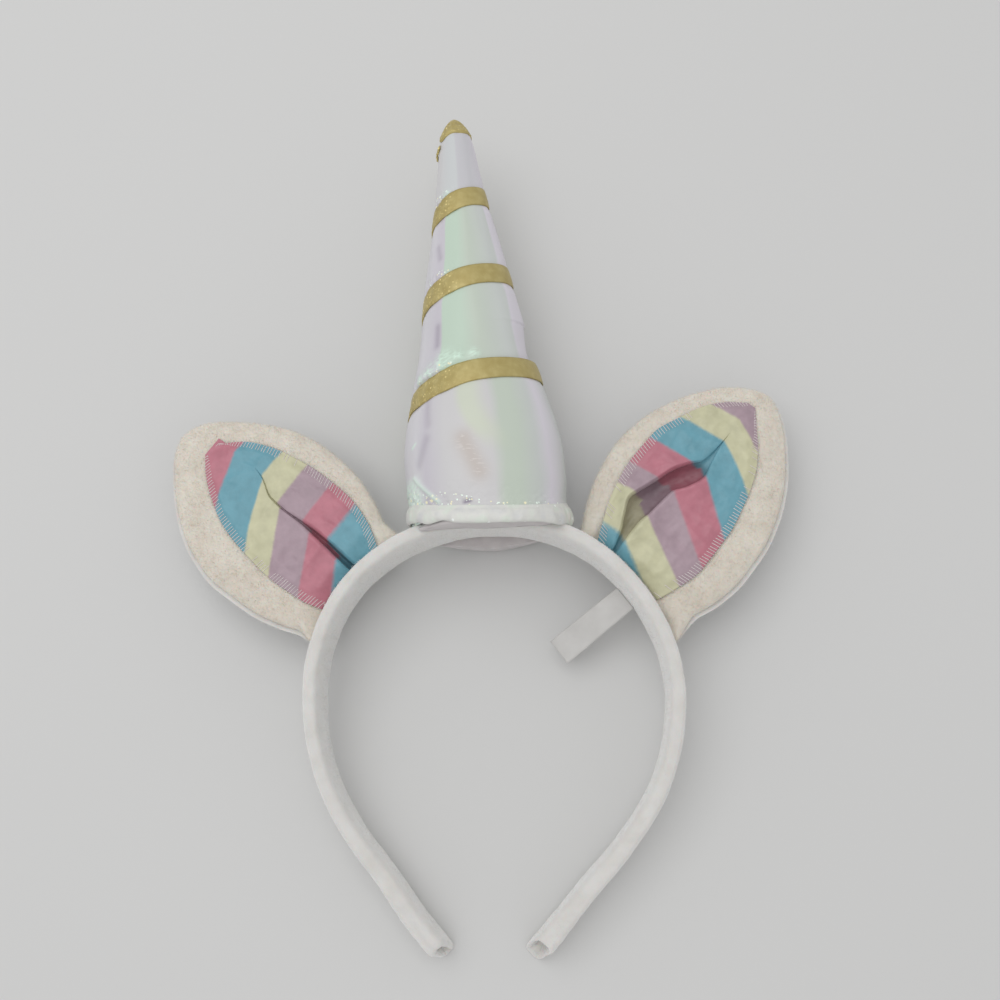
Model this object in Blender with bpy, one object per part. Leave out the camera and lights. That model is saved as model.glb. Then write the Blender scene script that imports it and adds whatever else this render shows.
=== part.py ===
# A unicorn horn headband that lies on the edge of its band, with the horn pointing away along +Y.
# Metres, +Z up. The table is z = 0, and the origin is on it under the middle of the whole headband.
# Every shape is worked out around the middle of the hoop, the empty that carries all the pieces.

import math

import bmesh
import bpy
from mathutils import Vector
from mathutils.bvhtree import BVHTree

MM = 0.001

# Place of the hoop's middle from the origin
HOOP_X = 0.01033
HOOP_Y = -0.07402

TOUCH_GAP = 0.0003        # between pieces that lie on each other
SETTLE = 0.0005           # how far soft edges are pressed flat on the table

# Band: a fleece sleeve over a C-shaped hoop, leaning up from the leg tips to the crown
BAND_THICKNESS = 0.0058
TIP_THICKNESS = 0.0072
CROWN_DEPTH = 0.0250
TIP_DEPTH = 0.0155
CROWN_LIFT = 0.0125       # the horn's base holds the crown this far off the table
CROWN_Y = 0.0715
TIP_Y = -0.0680
LEFT_END = -168.0         # degrees round the hoop from the crown, minus on the left ear's side
RIGHT_END = 163.5
BAND_STATIONS = 62
BAND_SIDES = 14
BAND_SQUARENESS = 0.55    # power of the section's cosine and sine: 1 is an ellipse, 0 a rectangle

# Columns: degrees from the crown, radius of the band's centre line in mm
LEFT_RADII = ((-22, 70.7), (0, 71.0), (22, 70.6), (45, 69.0), (65, 65.2), (85, 60.4), (105, 57.2),
              (125, 55.6), (145, 57.2), (157, 62.4), (169, 70.4))
RIGHT_RADII = ((-22, 70.6), (0, 71.0), (22, 70.7), (45, 67.8), (65, 64.7), (85, 60.6), (105, 57.4),
               (125, 55.6), (145, 58.2), (157, 64.0), (169, 73.0))

# Sleeve ends: columns are length past the last station in mm, and share of the section's size
TIP_ROUNDING = ((0.9, 0.96), (1.7, 0.84), (2.1, 0.68), (1.4, 0.52), (-1.8, 0.36))
TIP_MOUTH_SLANT = 0.35    # the tucked mouth leans up by this share of its height

# Horn: a stuffed cone
HORN_FOOT = (-0.0045, 0.0753, 0.0255)
HORN_LEAN = math.radians(8.0)
HORN_RISE = math.radians(2.0)
HORN_START = 0.0020
HORN_END = 0.1385
HORN_RINGS = 38
HORN_SIDES = 28

# Columns: distance up the horn and radius there, in mm
HORN_PROFILE = ((0, 26.4), (8, 27.3), (18, 27.4), (28, 26.2), (37, 24.1), (45, 22.3), (56, 19.7), (68, 17.7),
                (80, 15.7), (95, 12.9), (110, 10.0), (125, 7.7), (138, 5.7), (146, 1.0))

# Ribbon: columns are turns from the horn's upper line, and distance up the horn in mm
RIBBON_CLIMB = ((-0.45, 29.5), (-0.25, 36.2), (-0.12, 39.8), (0.0, 43.4), (0.12, 44.7), (0.25, 46.2),
                (0.5, 57.5), (0.75, 72.2), (0.87, 75.6), (1.0, 79.2), (1.12, 81.0), (1.25, 82.8),
                (1.5, 94.0), (1.75, 105.4), (1.87, 107.8), (2.0, 110.8), (2.12, 112.4), (2.25, 113.8),
                (2.5, 123.4), (2.75, 132.2), (2.84, 134.6))
RIBBON_WIDTH = 0.0075
RIBBON_THICKNESS = 0.0010
RIBBON_GAP = 0.0004
RIBBON_END_SHARE = 0.15   # of its width, where the ribbon runs out under the tip's wrap
RIBBON_END_TURNS = 0.36   # the last stretch, over which it is gathered to a narrow end
CINCH_DEPTH = 0.0014
CINCH_REACH = 0.0050
CINCH_MARGIN = 0.08       # turns that the cinch reaches past the ribbon's ends

# Gold wrap on the tip: columns are distance up the horn and radius, in mm
CAP_PROFILE = ((138.8, 5.6), (140.2, 5.3), (142.0, 4.5), (144.0, 3.3), (145.6, 1.9), (146.6, 0.8))
CAP_SIDES = 14
CAP_CRINKLE = 0.0003

# Padded base of the horn: columns are distance up the horn and radius in mm
BASE_PROFILE = ((1.6, 12.0), (1.6, 24.0), (1.2, 26.9), (-0.6, 28.0), (-3.4, 28.1), (-6.0, 27.2))
BASE_SIDES = 36

# Lips of the base, which reach back over the band's edges: columns are share of the way from
# the profile's last row to the lip's edge, and radius in mm
LIP_PROFILE = ((0.78, 25.6), (0.94, 23.2), (1.0, 19.5), (1.0, 9.0))

# How far the lip's edge reaches back: columns are turns from the horn's upper line, and mm
LIP_REACH = ((-0.5, 11.2), (-0.3, 7.8), (-0.16, 6.9), (0.0, 8.1), (0.17, 8.8), (0.32, 9.6), (0.5, 11.2))

# Room for the band and the head between the lips
ROOM_SPREAD = 48.0        # degrees to each side of the crown
ROOM_REACH = 0.016        # from the band's centre line towards the hoop's middle
ROOM_STEPS = 24

# Ears: columns are distance from the foot along the ear, lower edge and upper edge across it, in mm
EAR_OUTLINES = {"left": ((0, -23.2, 22.6), (10, -26.8, 28.0), (22, -28.8, 32.0), (36, -29.0, 33.2),
                         (48, -26.2, 31.6), (58, -21.4, 27.8), (67, -14.4, 22.8), (74, -7.2, 17.8),
                         (78.6, -1.4, 12.8), (80.8, 4.2, 7.6)),
                "right": ((0, -25.6, 21.6), (10, -29.8, 26.8), (22, -31.8, 30.6), (34, -31.4, 32.2),
                          (46, -28.8, 30.6), (58, -23.6, 26.0), (68, -16.6, 19.8), (75, -10.2, 13.4),
                          (79.2, -4.6, 6.6), (80.8, -0.8, 2.0))}
EAR_STEPS = (3.0, 9, 16, 24, 32, 40, 48, 56, 62.5, 68.5, 73.5, 77.5, 79.8)
EAR_LENGTH = 0.0808
EAR_CENTRE = 0.036        # the point along the ear that its rings shrink to
EAR_HEIGHT = 0.0205       # of the seam between front and back over the table
EAR_DROOP = 0.03          # fall of the ear towards its tip
EAR_FRONT_PUFF = 0.0042
EAR_BACK_PUFF = 0.0046
EAR_RINGS = (1.0, 0.955, 0.86, 0.70, 0.48, 0.24, 0.03)
PLEAT_DEPTH = 0.0042
PLEAT_WIDTH = 0.0052

# Columns: name, foot x and y in mm, direction in degrees from +X
EARS = (("left", -52.5, 49.5, 146.8), ("right", 44.5, 56.5, 53.5))

# Pleats, from the foot towards the tip: columns are distance along and across the ear in mm
PLEATS = {"left": ((2, 5.0), (20, 6.5), (37.5, 7.2), (46.5, 11.8)),
          "right": ((6, 10.2), (20, 11.4), (30, 9.6), (40, 5.0), (48, 3.2), (56, 3.3))}

# Satin patches: columns are distance along the ear, lower edge and upper edge across it, in mm
PATCHES = {"left": ((3.0, -12.4, 15.4), (11, -14.2, 20.6), (22, -14.6, 24.0), (33, -13.3, 24.6),
                    (46, -10.2, 23.2), (57, -4.2, 19.8), (63.5, 1.2, 15.0), (67.8, 6.2, 9.4)),
           "right": ((3.5, -12.4, 15.4), (9, -14.8, 17.9), (20, -17.8, 22.0), (33, -17.6, 24.2),
                     (44, -15.6, 24.0), (54, -12.4, 20.4), (62, -7.4, 16.6), (68.5, -1.6, 11.0),
                     (72.8, 2.0, 5.0))}
PATCH_THICKNESS = 0.0010
PATCH_GAP = 0.0004
PATCH_ROOT_GAP = 0.0018   # from the band to the patch's folded-in end
PATCH_ROWS = 13
PATCH_COLUMNS = 11

# Label: a satin tape sewn to the inside of the band
LABEL_ANGLE = 42.0        # degrees round the hoop from the crown
LABEL_LENGTH = 0.0290
LABEL_WIDTH = 0.0090
LABEL_THICKNESS = 0.0010
LABEL_GAP = 0.0006        # from the band's inner face
LABEL_ROOT_HEIGHT = 0.0175
LABEL_DROP = 0.0085
LABEL_STEPS = 8


# Reads a table of (place, value) rows as one smooth curve, which swings past its rows only where it is free
def smooth(rows, place, free=False):
    rises = [(b[1] - a[1]) / (b[0] - a[0]) for a, b in zip(rows, rows[1:])]
    slopes = [rises[0]]
    for low, high in zip(rises, rises[1:]):
        if free:
            slopes.append((low + high) / 2)
        else:
            slopes.append(0.0 if low * high <= 0 else 2 * low * high / (low + high))
    slopes.append(rises[-1])
    place = min(max(place, rows[0][0]), rows[-1][0])
    k = 0
    while k < len(rows) - 2 and place > rows[k + 1][0]:
        k += 1
    span = rows[k + 1][0] - rows[k][0]
    t = (place - rows[k][0]) / span
    start = rows[k][1] * (2 * t ** 3 - 3 * t ** 2 + 1) + slopes[k] * span * (t ** 3 - 2 * t ** 2 + t)
    end = rows[k + 1][1] * (3 * t ** 2 - 2 * t ** 3) + slopes[k + 1] * span * (t ** 3 - t ** 2)
    return start + end


def clear_scene():
    for old in list(bpy.data.objects):
        bpy.data.objects.remove(old, do_unlink=True)


def make_material(name, colour, roughness, metallic=0.0):
    material = bpy.data.materials.new(name)
    material.use_nodes = True
    shader = material.node_tree.nodes["Principled BSDF"]
    shader.inputs["Base Color"].default_value = (*colour, 1.0)
    shader.inputs["Roughness"].default_value = roughness
    shader.inputs["Metallic"].default_value = metallic
    return material


def make_object(name, points, faces, material, hoop):
    mesh = bpy.data.meshes.new(name)
    mesh.from_pydata([tuple(p) for p in points], [], faces)
    mesh.materials.append(material)
    piece = bpy.data.objects.new(name, mesh)
    bpy.context.scene.collection.objects.link(piece)
    piece.parent = hoop
    work = bmesh.new()
    work.from_mesh(mesh)
    bmesh.ops.recalc_face_normals(work, faces=work.faces)
    work.to_mesh(mesh)
    work.free()
    mesh.shade_smooth()
    return piece


# Joins rings of equal size into one skin, closed by one face at each end that is asked for
def skin(rings, closed_start=True, closed_end=True):
    points = [p for ring in rings for p in ring]
    count = len(rings[0])
    faces = []
    for r in range(len(rings) - 1):
        for k in range(count):
            a = r * count + k
            b = r * count + (k + 1) % count
            faces.append((a, b, b + count, a + count))
    if closed_start:
        faces.append(tuple(reversed(range(count))))
    if closed_end:
        faces.append(tuple(range((len(rings) - 1) * count, len(rings) * count)))
    return points, faces


def on_table(point):
    return Vector((point.x, point.y, max(point.z, 0.0)))


# Band

def band_radius(angle):
    rows = RIGHT_RADII if angle >= 0 else LEFT_RADII
    return smooth(rows, abs(angle), free=True) * MM


def band_centre(angle):
    turn = math.radians(angle)
    radius = band_radius(angle)
    return Vector((radius * math.sin(turn), radius * math.cos(turn), 0.0))


# Centre, outward direction, forward direction, thickness, depth and lower edge of the band at an angle
def band_station(angle):
    here = band_centre(angle)
    forward = (band_centre(angle + 0.5) - band_centre(angle - 0.5)).normalized()
    outward = Vector((-forward.y, forward.x, 0.0))
    share = min(max((CROWN_Y - here.y) / (CROWN_Y - TIP_Y), 0.0), 1.0)
    depth = CROWN_DEPTH + (TIP_DEPTH - CROWN_DEPTH) * share
    swell = max(0.0, (share - 0.6) / 0.4)
    thickness = BAND_THICKNESS + (TIP_THICKNESS - BAND_THICKNESS) * swell
    lower = CROWN_LIFT * (1 - share) - SETTLE * share
    return here, outward, forward, thickness, depth, lower


def band_section(angle, grow=1.0, push=0.0, slant=0.0):
    here, outward, forward, thickness, depth, lower = band_station(angle)
    ring = []
    for k in range(BAND_SIDES):
        turn = 2 * math.pi * (k + 0.5) / BAND_SIDES
        wide, high = math.cos(turn), math.sin(turn)
        across = math.copysign(abs(wide) ** BAND_SQUARENESS, wide) * thickness / 2 * grow
        up = math.copysign(abs(high) ** BAND_SQUARENESS, high) * depth / 2 * grow
        point = here + outward * across + forward * (push - slant * up)
        point.z = lower + depth / 2 + up
        ring.append(on_table(point))
    return ring


def make_band(material, hoop):
    rings = []
    for length, grow in reversed(TIP_ROUNDING):
        rings.append(band_section(LEFT_END, grow, -length * MM, -TIP_MOUTH_SLANT))
    for k in range(BAND_STATIONS + 1):
        angle = LEFT_END + (RIGHT_END - LEFT_END) * k / BAND_STATIONS
        rings.append(band_section(angle))
    for length, grow in TIP_ROUNDING:
        rings.append(band_section(RIGHT_END, grow, length * MM, TIP_MOUTH_SLANT))
    points, faces = skin(rings)
    return make_object("band", points, faces, material, hoop)


# Horn

def horn_frame():
    along = Vector((-math.sin(HORN_LEAN) * math.cos(HORN_RISE),
                    math.cos(HORN_LEAN) * math.cos(HORN_RISE),
                    math.sin(HORN_RISE)))
    up = Vector((0.0, 0.0, 1.0))
    up = (up - along * up.dot(along)).normalized()
    return along, up, along.cross(up)


# A point at a distance up the horn, a turn from its upper line and a radius from its axis
def horn_point(distance, turns, radius):
    along, up, side = horn_frame()
    angle = 2 * math.pi * turns
    point = Vector(HORN_FOOT) + along * distance
    return point + (up * math.cos(angle) + side * math.sin(angle)) * radius


def ribbon_height(turns):
    return smooth(RIBBON_CLIMB, turns) * MM


# Radius of the stuffed cone, drawn in where the ribbon is wound
def horn_radius(distance, turns):
    radius = smooth(HORN_PROFILE, distance / MM) * MM
    first, last = RIBBON_CLIMB[0][0], RIBBON_CLIMB[-1][0]
    pull = 0.0
    for whole in range(-1, 4):
        wound = turns % 1.0 + whole
        if first - CINCH_MARGIN <= wound <= last + CINCH_MARGIN:
            away = (distance - ribbon_height(wound)) / CINCH_REACH
            pull = max(pull, math.exp(-away * away))
    return radius - CINCH_DEPTH * pull


def make_horn(material, hoop):
    rings = []
    for r in range(HORN_RINGS + 1):
        distance = HORN_START + (HORN_END - HORN_START) * r / HORN_RINGS
        ring = []
        for k in range(HORN_SIDES):
            turns = k / HORN_SIDES
            ring.append(on_table(horn_point(distance, turns, horn_radius(distance, turns))))
        rings.append(ring)
    points, faces = skin(rings)
    return make_object("horn", points, faces, material, hoop)


def make_ribbon(material, hoop):
    first, last = RIBBON_CLIMB[0][0], RIBBON_CLIMB[-1][0]
    steps = int((last - first) * HORN_SIDES)
    start = math.ceil(first * HORN_SIDES)
    rings = []
    for k in range(steps):
        turns = (start + k) / HORN_SIDES
        middle = ribbon_height(turns)
        left_over = min(1.0, (last - turns) / RIBBON_END_TURNS)
        width = RIBBON_WIDTH * (RIBBON_END_SHARE + (1 - RIBBON_END_SHARE) * left_over)
        ring = []
        for half, lift in ((-0.5, 0.0), (0.5, 0.0), (0.5, 1.0), (-0.5, 1.0)):
            distance = middle + half * width
            radius = horn_radius(distance, turns) + RIBBON_GAP + lift * RIBBON_THICKNESS
            ring.append(horn_point(distance, turns, radius))
        rings.append(ring)
    points, faces = skin(rings)
    return make_object("horn_ribbon", points, faces, material, hoop)


def make_tip_cap(material, hoop):
    rings = []
    for r, (distance, radius) in enumerate(CAP_PROFILE):
        ring = []
        for k in range(CAP_SIDES):
            crinkle = CAP_CRINKLE * math.sin(5.0 * k + 2.1 * r)
            ring.append(horn_point(distance * MM, k / CAP_SIDES, radius * MM + crinkle))
        rings.append(ring)
    points, faces = skin(rings)
    return make_object("horn_tip_cap", points, faces, material, hoop)


# The room that the band takes up between the base's lips, and the open head space behind it
def band_clearance(hoop):
    rings = []
    for k in range(ROOM_STEPS + 1):
        angle = ROOM_SPREAD * (2 * k / ROOM_STEPS - 1)
        here, outward, forward, thickness, depth, lower = band_station(angle)
        outer = here + outward * (thickness / 2 + TOUCH_GAP)
        inner = here - outward * ROOM_REACH
        bottom = lower - TOUCH_GAP
        top = lower + depth + TOUCH_GAP
        rings.append([Vector((p.x, p.y, z)) for p, z in
                      ((outer, bottom), (outer, top), (inner, top), (inner, bottom))])
    points, faces = skin(rings)
    cutter = make_object("band_clearance", points, faces, None, hoop)
    cutter.hide_render = True
    cutter.display_type = "WIRE"
    return cutter


def make_base(material, hoop):
    rings = []
    for distance, radius in BASE_PROFILE:
        ring = []
        for k in range(BASE_SIDES):
            ring.append(on_table(horn_point(distance * MM, k / BASE_SIDES, radius * MM)))
        rings.append(ring)
    back = BASE_PROFILE[-1][0] * MM
    for share, radius in LIP_PROFILE:
        ring = []
        for k in range(BASE_SIDES):
            turns = k / BASE_SIDES
            lip = smooth(LIP_REACH, (turns + 0.5) % 1.0 - 0.5) * MM
            edge = back + (-lip - back) * share
            ring.append(on_table(horn_point(edge, turns, radius * MM)))
        rings.append(ring)
    points, faces = skin(rings)
    base = make_object("horn_base", points, faces, material, hoop)
    cut = base.modifiers.new("band_clearance", "BOOLEAN")
    cut.operation = "DIFFERENCE"
    cut.solver = "EXACT"
    cut.object = band_clearance(hoop)
    return base


# Ears

# Turns a place on the ear, along and across it in mm, into hoop coordinates
def ear_place(ear, along, across, height):
    name, foot_x, foot_y, heading = ear
    turn = math.radians(heading)
    forward = Vector((math.cos(turn), math.sin(turn), 0.0))
    sideways = Vector((math.sin(turn), -math.cos(turn), 0.0))
    if name == "right":
        sideways = -sideways
    spot = Vector((foot_x, foot_y, 0.0)) * MM + forward * along * MM + sideways * across * MM
    spot.z = height
    return spot


# How deep the ear is pinched at a place on it
def pleat(ear, along, across):
    rows = PLEATS[ear[0]]
    middle = smooth(rows, along)
    off = (across - middle) * MM / PLEAT_WIDTH
    start = min(1.0, (along + 6) / 8)
    fade = min(1.0, max(0.0, (rows[-1][0] + 8 - along) / 26))
    return PLEAT_DEPTH * math.exp(-off * off) * start * fade


def ear_seam(ear, along, across):
    return EAR_HEIGHT - EAR_DROOP * along * MM - 0.8 * pleat(ear, along, across)


# Distance along the ear at which it meets the band's outer face
def ear_root(ear, across, gap):
    low, high = -12.0, 16.0
    for _ in range(30):
        middle = (low + high) / 2
        spot = ear_place(ear, middle, across, 0.0)
        angle = math.degrees(math.atan2(spot.x, spot.y))
        here, outward, forward, thickness, depth, lower = band_station(angle)
        if (spot - here).dot(outward) < thickness / 2 + gap:
            low = middle
        else:
            high = middle
    return high


def ear_rim(ear):
    rows = EAR_OUTLINES[ear[0]]
    lower_edge = [(row[0], row[1]) for row in rows]
    upper_edge = [(row[0], row[2]) for row in rows]
    rim = [(step, smooth(upper_edge, step)) for step in EAR_STEPS]
    rim.append((EAR_LENGTH / MM, (rows[-1][1] + rows[-1][2]) / 2))
    rim += [(step, smooth(lower_edge, step)) for step in reversed(EAR_STEPS)]
    for k in range(7):
        across = rows[0][1] + (rows[0][2] - rows[0][1]) * k / 6
        rim.append((ear_root(ear, across, TOUCH_GAP * 1.5), across))
    return rim


# Height of the ear's skin above its seam, full in the middle and thin at the rim
def puff(size, full):
    return full * (0.16 + 0.84 * (1 - size ** 6) ** 0.5)


def make_ear_layer(ear, part, direction, full, material, hoop):
    rim = ear_rim(ear)
    middle = (EAR_CENTRE / MM, 0.0)
    outside, inside = [], []
    for size in EAR_RINGS:
        outer_ring, inner_ring = [], []
        for along, across in rim:
            a = middle[0] + (along - middle[0]) * size
            c = middle[1] + (across - middle[1]) * size
            seam = ear_seam(ear, a, c)
            thick = puff(size, full)
            if direction > 0:
                thick -= min(0.5 * pleat(ear, a, c), 0.6 * thick)
            outer = seam + direction * (TOUCH_GAP / 2 + thick)
            inner = seam + direction * TOUCH_GAP / 2
            outer_ring.append(ear_place(ear, a, c, outer))
            inner_ring.append(ear_place(ear, a, c, inner))
        outside.append(outer_ring)
        inside.append(inner_ring)
    points, faces = skin(list(reversed(inside)) + outside)
    return make_object(f"ear_{ear[0]}_{part}", points, faces, material, hoop)


# Height of a piece's upper skin at a place in hoop coordinates
def top_of(tree, spot):
    hit = tree.ray_cast(Vector((spot.x, spot.y, 0.1)), Vector((0.0, 0.0, -1.0)))
    return hit[0].z if hit[0] else 0.0


# A place on the patch: row and column run from 0 at the foot and the lower edge to 1
def patch_place(ear, row, column):
    rows = PATCHES[ear[0]]
    start, last = rows[0][0], rows[-1][0]
    reach = start + (last - start) * math.sin(0.5 * math.pi * min(max(row, 0.0), 1.0))
    low = smooth([(r[0], r[1]) for r in rows], reach)
    high = smooth([(r[0], r[2]) for r in rows], reach)
    across = low + (high - low) * min(max(column, 0.0), 1.0)
    root = ear_root(ear, across, PATCH_ROOT_GAP)
    along = root + (reach - start) / (last - start) * (last - root)
    return ear_place(ear, along, across, 0.0)


def make_patch(ear, front, material, hoop):
    tree = BVHTree.FromPolygons([v.co for v in front.data.vertices],
                                [tuple(p.vertices) for p in front.data.polygons])
    nearby = (-0.5, 0.0, 0.5)
    rings = []
    for r in range(PATCH_ROWS + 1):
        upper, under = [], []
        for k in range(PATCH_COLUMNS + 1):
            spot = patch_place(ear, r / PATCH_ROWS, k / PATCH_COLUMNS)
            around = [patch_place(ear, (r + i) / PATCH_ROWS, (k + j) / PATCH_COLUMNS)
                      for i in nearby for j in nearby]
            spot.z = max(top_of(tree, place) for place in around) + PATCH_GAP
            under.append(spot)
            upper.append(spot + Vector((0.0, 0.0, PATCH_THICKNESS)))
        rings.append(upper + list(reversed(under)))
    points, faces = skin(rings, closed_start=False, closed_end=False)
    count = len(rings[0])
    for base in (0, (len(rings) - 1) * count):
        for k in range(PATCH_COLUMNS):
            faces.append((base + k, base + k + 1, base + count - 2 - k, base + count - 1 - k))
    return make_object(f"ear_{ear[0]}_patch", points, faces, material, hoop)


# Label

def make_label(material, hoop):
    here, outward, forward, thickness, depth, lower = band_station(LABEL_ANGLE)
    root = here - outward * (thickness / 2 + LABEL_GAP)
    rings = []
    for k in range(LABEL_STEPS + 1):
        share = k / LABEL_STEPS
        centre = root - outward * LABEL_LENGTH * share
        centre.z = LABEL_ROOT_HEIGHT - LABEL_DROP * share ** 1.5
        ring = []
        for side, up in ((-0.5, 0.0), (0.5, 0.0), (0.5, 1.0), (-0.5, 1.0)):
            point = centre + forward * LABEL_WIDTH * side
            point.z += up * LABEL_THICKNESS
            ring.append(point)
        rings.append(ring)
    points, faces = skin(rings)
    return make_object("label", points, faces, material, hoop)


def main():
    clear_scene()
    hoop = bpy.data.objects.new("hoop_middle", None)
    bpy.context.scene.collection.objects.link(hoop)
    hoop.location = (HOOP_X, HOOP_Y, 0.0)

    fleece = make_material("white_fleece", (0.86, 0.85, 0.83), 0.95)
    film = make_material("pearl_film", (0.78, 0.84, 0.80), 0.25, 0.2)
    gold = make_material("gold_ribbon", (0.62, 0.48, 0.18), 0.35, 0.8)
    plush = make_material("cream_plush", (0.88, 0.82, 0.70), 0.95)
    satin = make_material("striped_satin", (0.85, 0.55, 0.66), 0.4)
    tape = make_material("white_tape", (0.88, 0.87, 0.86), 0.5)

    make_band(fleece, hoop)
    make_horn(film, hoop)
    make_ribbon(gold, hoop)
    make_tip_cap(gold, hoop)
    make_base(fleece, hoop)
    for ear in EARS:
        make_ear_layer(ear, "back", -1, EAR_BACK_PUFF, fleece, hoop)
        front = make_ear_layer(ear, "front", 1, EAR_FRONT_PUFF, plush, hoop)
        make_patch(ear, front, satin, hoop)
    make_label(tape, hoop)


main()
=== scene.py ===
import math

import bmesh
import bpy
import numpy as np
from mathutils import Matrix, Vector, noise


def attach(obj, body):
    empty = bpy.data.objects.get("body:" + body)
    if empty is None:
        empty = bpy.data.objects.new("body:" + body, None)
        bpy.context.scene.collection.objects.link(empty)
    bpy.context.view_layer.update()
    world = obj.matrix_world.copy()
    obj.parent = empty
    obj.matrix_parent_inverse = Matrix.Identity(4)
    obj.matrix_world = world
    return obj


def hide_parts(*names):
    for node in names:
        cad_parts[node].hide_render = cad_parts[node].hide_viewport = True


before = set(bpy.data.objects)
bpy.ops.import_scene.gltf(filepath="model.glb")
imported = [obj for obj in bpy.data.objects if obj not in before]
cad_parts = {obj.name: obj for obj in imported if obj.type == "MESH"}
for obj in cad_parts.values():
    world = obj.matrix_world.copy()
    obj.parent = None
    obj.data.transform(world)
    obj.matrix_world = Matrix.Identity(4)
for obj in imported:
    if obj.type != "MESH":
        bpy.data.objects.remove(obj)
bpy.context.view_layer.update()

# Shapes are laid out in millimetres around the middle of the hoop, with the table at z = 0
mm = 0.001
hoopMiddle = np.array([10.33, -74.02, 0.0])


# Tools for shapes

def curveThrough(rows, places, free=False):
    # reads a table of (place, value) rows as one smooth curve
    rows = np.array(rows, float)
    x, y = rows[:, 0], rows[:, 1]
    rises = np.diff(y) / np.diff(x)
    low, high = rises[:-1], rises[1:]
    if free:
        inner = (low + high) / 2
    else:
        together = np.where(low + high == 0, 1.0, low + high)
        inner = np.where(low * high > 0, 2 * low * high / together, 0.0)
    slopes = np.concatenate([rises[:1], inner, rises[-1:]])
    places = np.clip(np.asarray(places, float), x[0], x[-1])
    k = np.clip(np.searchsorted(x, places, side="right") - 1, 0, len(x) - 2)
    span = x[k + 1] - x[k]
    t = (places - x[k]) / span
    start = y[k] * (2 * t ** 3 - 3 * t ** 2 + 1) + slopes[k] * span * (t ** 3 - 2 * t ** 2 + t)
    end = y[k + 1] * (3 * t ** 2 - 2 * t ** 3) + slopes[k + 1] * span * (t ** 3 - t ** 2)
    return start + end


def fadeIn(value, low, high):
    t = np.clip((np.asarray(value, float) - low) / (high - low), 0, 1)
    return t * t * (3 - 2 * t)


def hump(value, middle, reach):
    return np.exp(-((np.asarray(value, float) - middle) / reach) ** 2)


def lumps(points, size, seed=0.0):
    # soft noise from -1 to 1 with lumps of that size in mm, in the shape of the points' grid
    points = np.asarray(points, float)
    shift = Vector((17.3 * seed, 5.1 * seed, 9.7 * seed))
    values = [noise.noise(Vector(p) / size + shift) for p in points.reshape(-1, 3).tolist()]
    return np.array(values).reshape(points.shape[:-1])


def creases(points, size, seed=0.0):
    # crisp folds: 1 along the crease, falling to 0 between them
    return 1 - np.abs(lumps(points, size, seed)) * 2.2


def layered(points, layers, shape=lumps):
    # noise of several sizes together, from rows of strength, size and seed
    return sum(strength * shape(points, size, seed) for strength, size, seed in layers)


def columnAt(rows, k, places):
    # one column of a table that starts with the place, as a smooth curve
    return curveThrough([(row[0], row[k]) for row in rows], places)


def lengthsAlong(line):
    # how far along a line of points each of them lies
    return np.concatenate([[0], np.cumsum(np.linalg.norm(np.diff(line, axis=0), axis=1))])


def aboveTable(points):
    points[..., 2] = np.maximum(points[..., 2], 0.0)
    return points


def gridFaces(rows, columns, closed=False):
    # four-sided faces of a grid of rows by columns, closed when the columns go round
    wide = columns if closed else columns - 1
    r, c = np.meshgrid(np.arange(rows - 1), np.arange(wide), indexing="ij")
    a = (r * columns + c).ravel()
    b = (r * columns + (c + 1) % columns).ravel()
    return np.stack([a, b, b + columns, a + columns], 1).tolist()


def tubeFaces(rows, columns):
    # a grid of closed rings with a flat cap at both ends
    first = (rows - 1) * columns
    return gridFaces(rows, columns, closed=True) + [list(reversed(range(columns))),
                                                    list(range(first, first + columns))]


def slabFaces(rows, columns):
    # a sheet's upper side and, going back, its lower side, closed at both ends
    faces = gridFaces(rows, columns * 2, closed=True)
    for first in (0, (rows - 1) * columns * 2):
        faces += [[first + k, first + k + 1, first + columns * 2 - 2 - k, first + columns * 2 - 1 - k]
                  for k in range(columns - 1)]
    return faces


def makePiece(name, points, faces, material, smooth=True):
    mesh = bpy.data.meshes.new(name)
    placed = (np.asarray(points, float).reshape(-1, 3) + hoopMiddle) * mm
    mesh.from_pydata(placed.tolist(), [], faces)
    mesh.materials.append(material)
    piece = bpy.data.objects.new(name, mesh)
    bpy.context.scene.collection.objects.link(piece)
    work = bmesh.new()
    work.from_mesh(mesh)
    bmesh.ops.recalc_face_normals(work, faces=work.faces)
    work.to_mesh(mesh)
    work.free()
    if smooth:
        mesh.shade_smooth()
    return piece


def tagPoints(piece, name, values):
    # keeps a number for each point, for the piece's material to read
    attribute = piece.data.attributes.new(name, "FLOAT", "POINT")
    attribute.data.foreach_set("value", np.asarray(values, np.float32).ravel())


def settle(piece, slotName, *nodes):
    if nodes:
        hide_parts(*nodes)
    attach(piece, "root")
    return piece


# Tufts: the spread of their lengths and leans, how deep they are rooted and their least height in mm
tuft = {"lengths": (0.55, 1.15), "leans": (0.3, 1.0), "rooted": 0.15, "lowest": 0.02}


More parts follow.
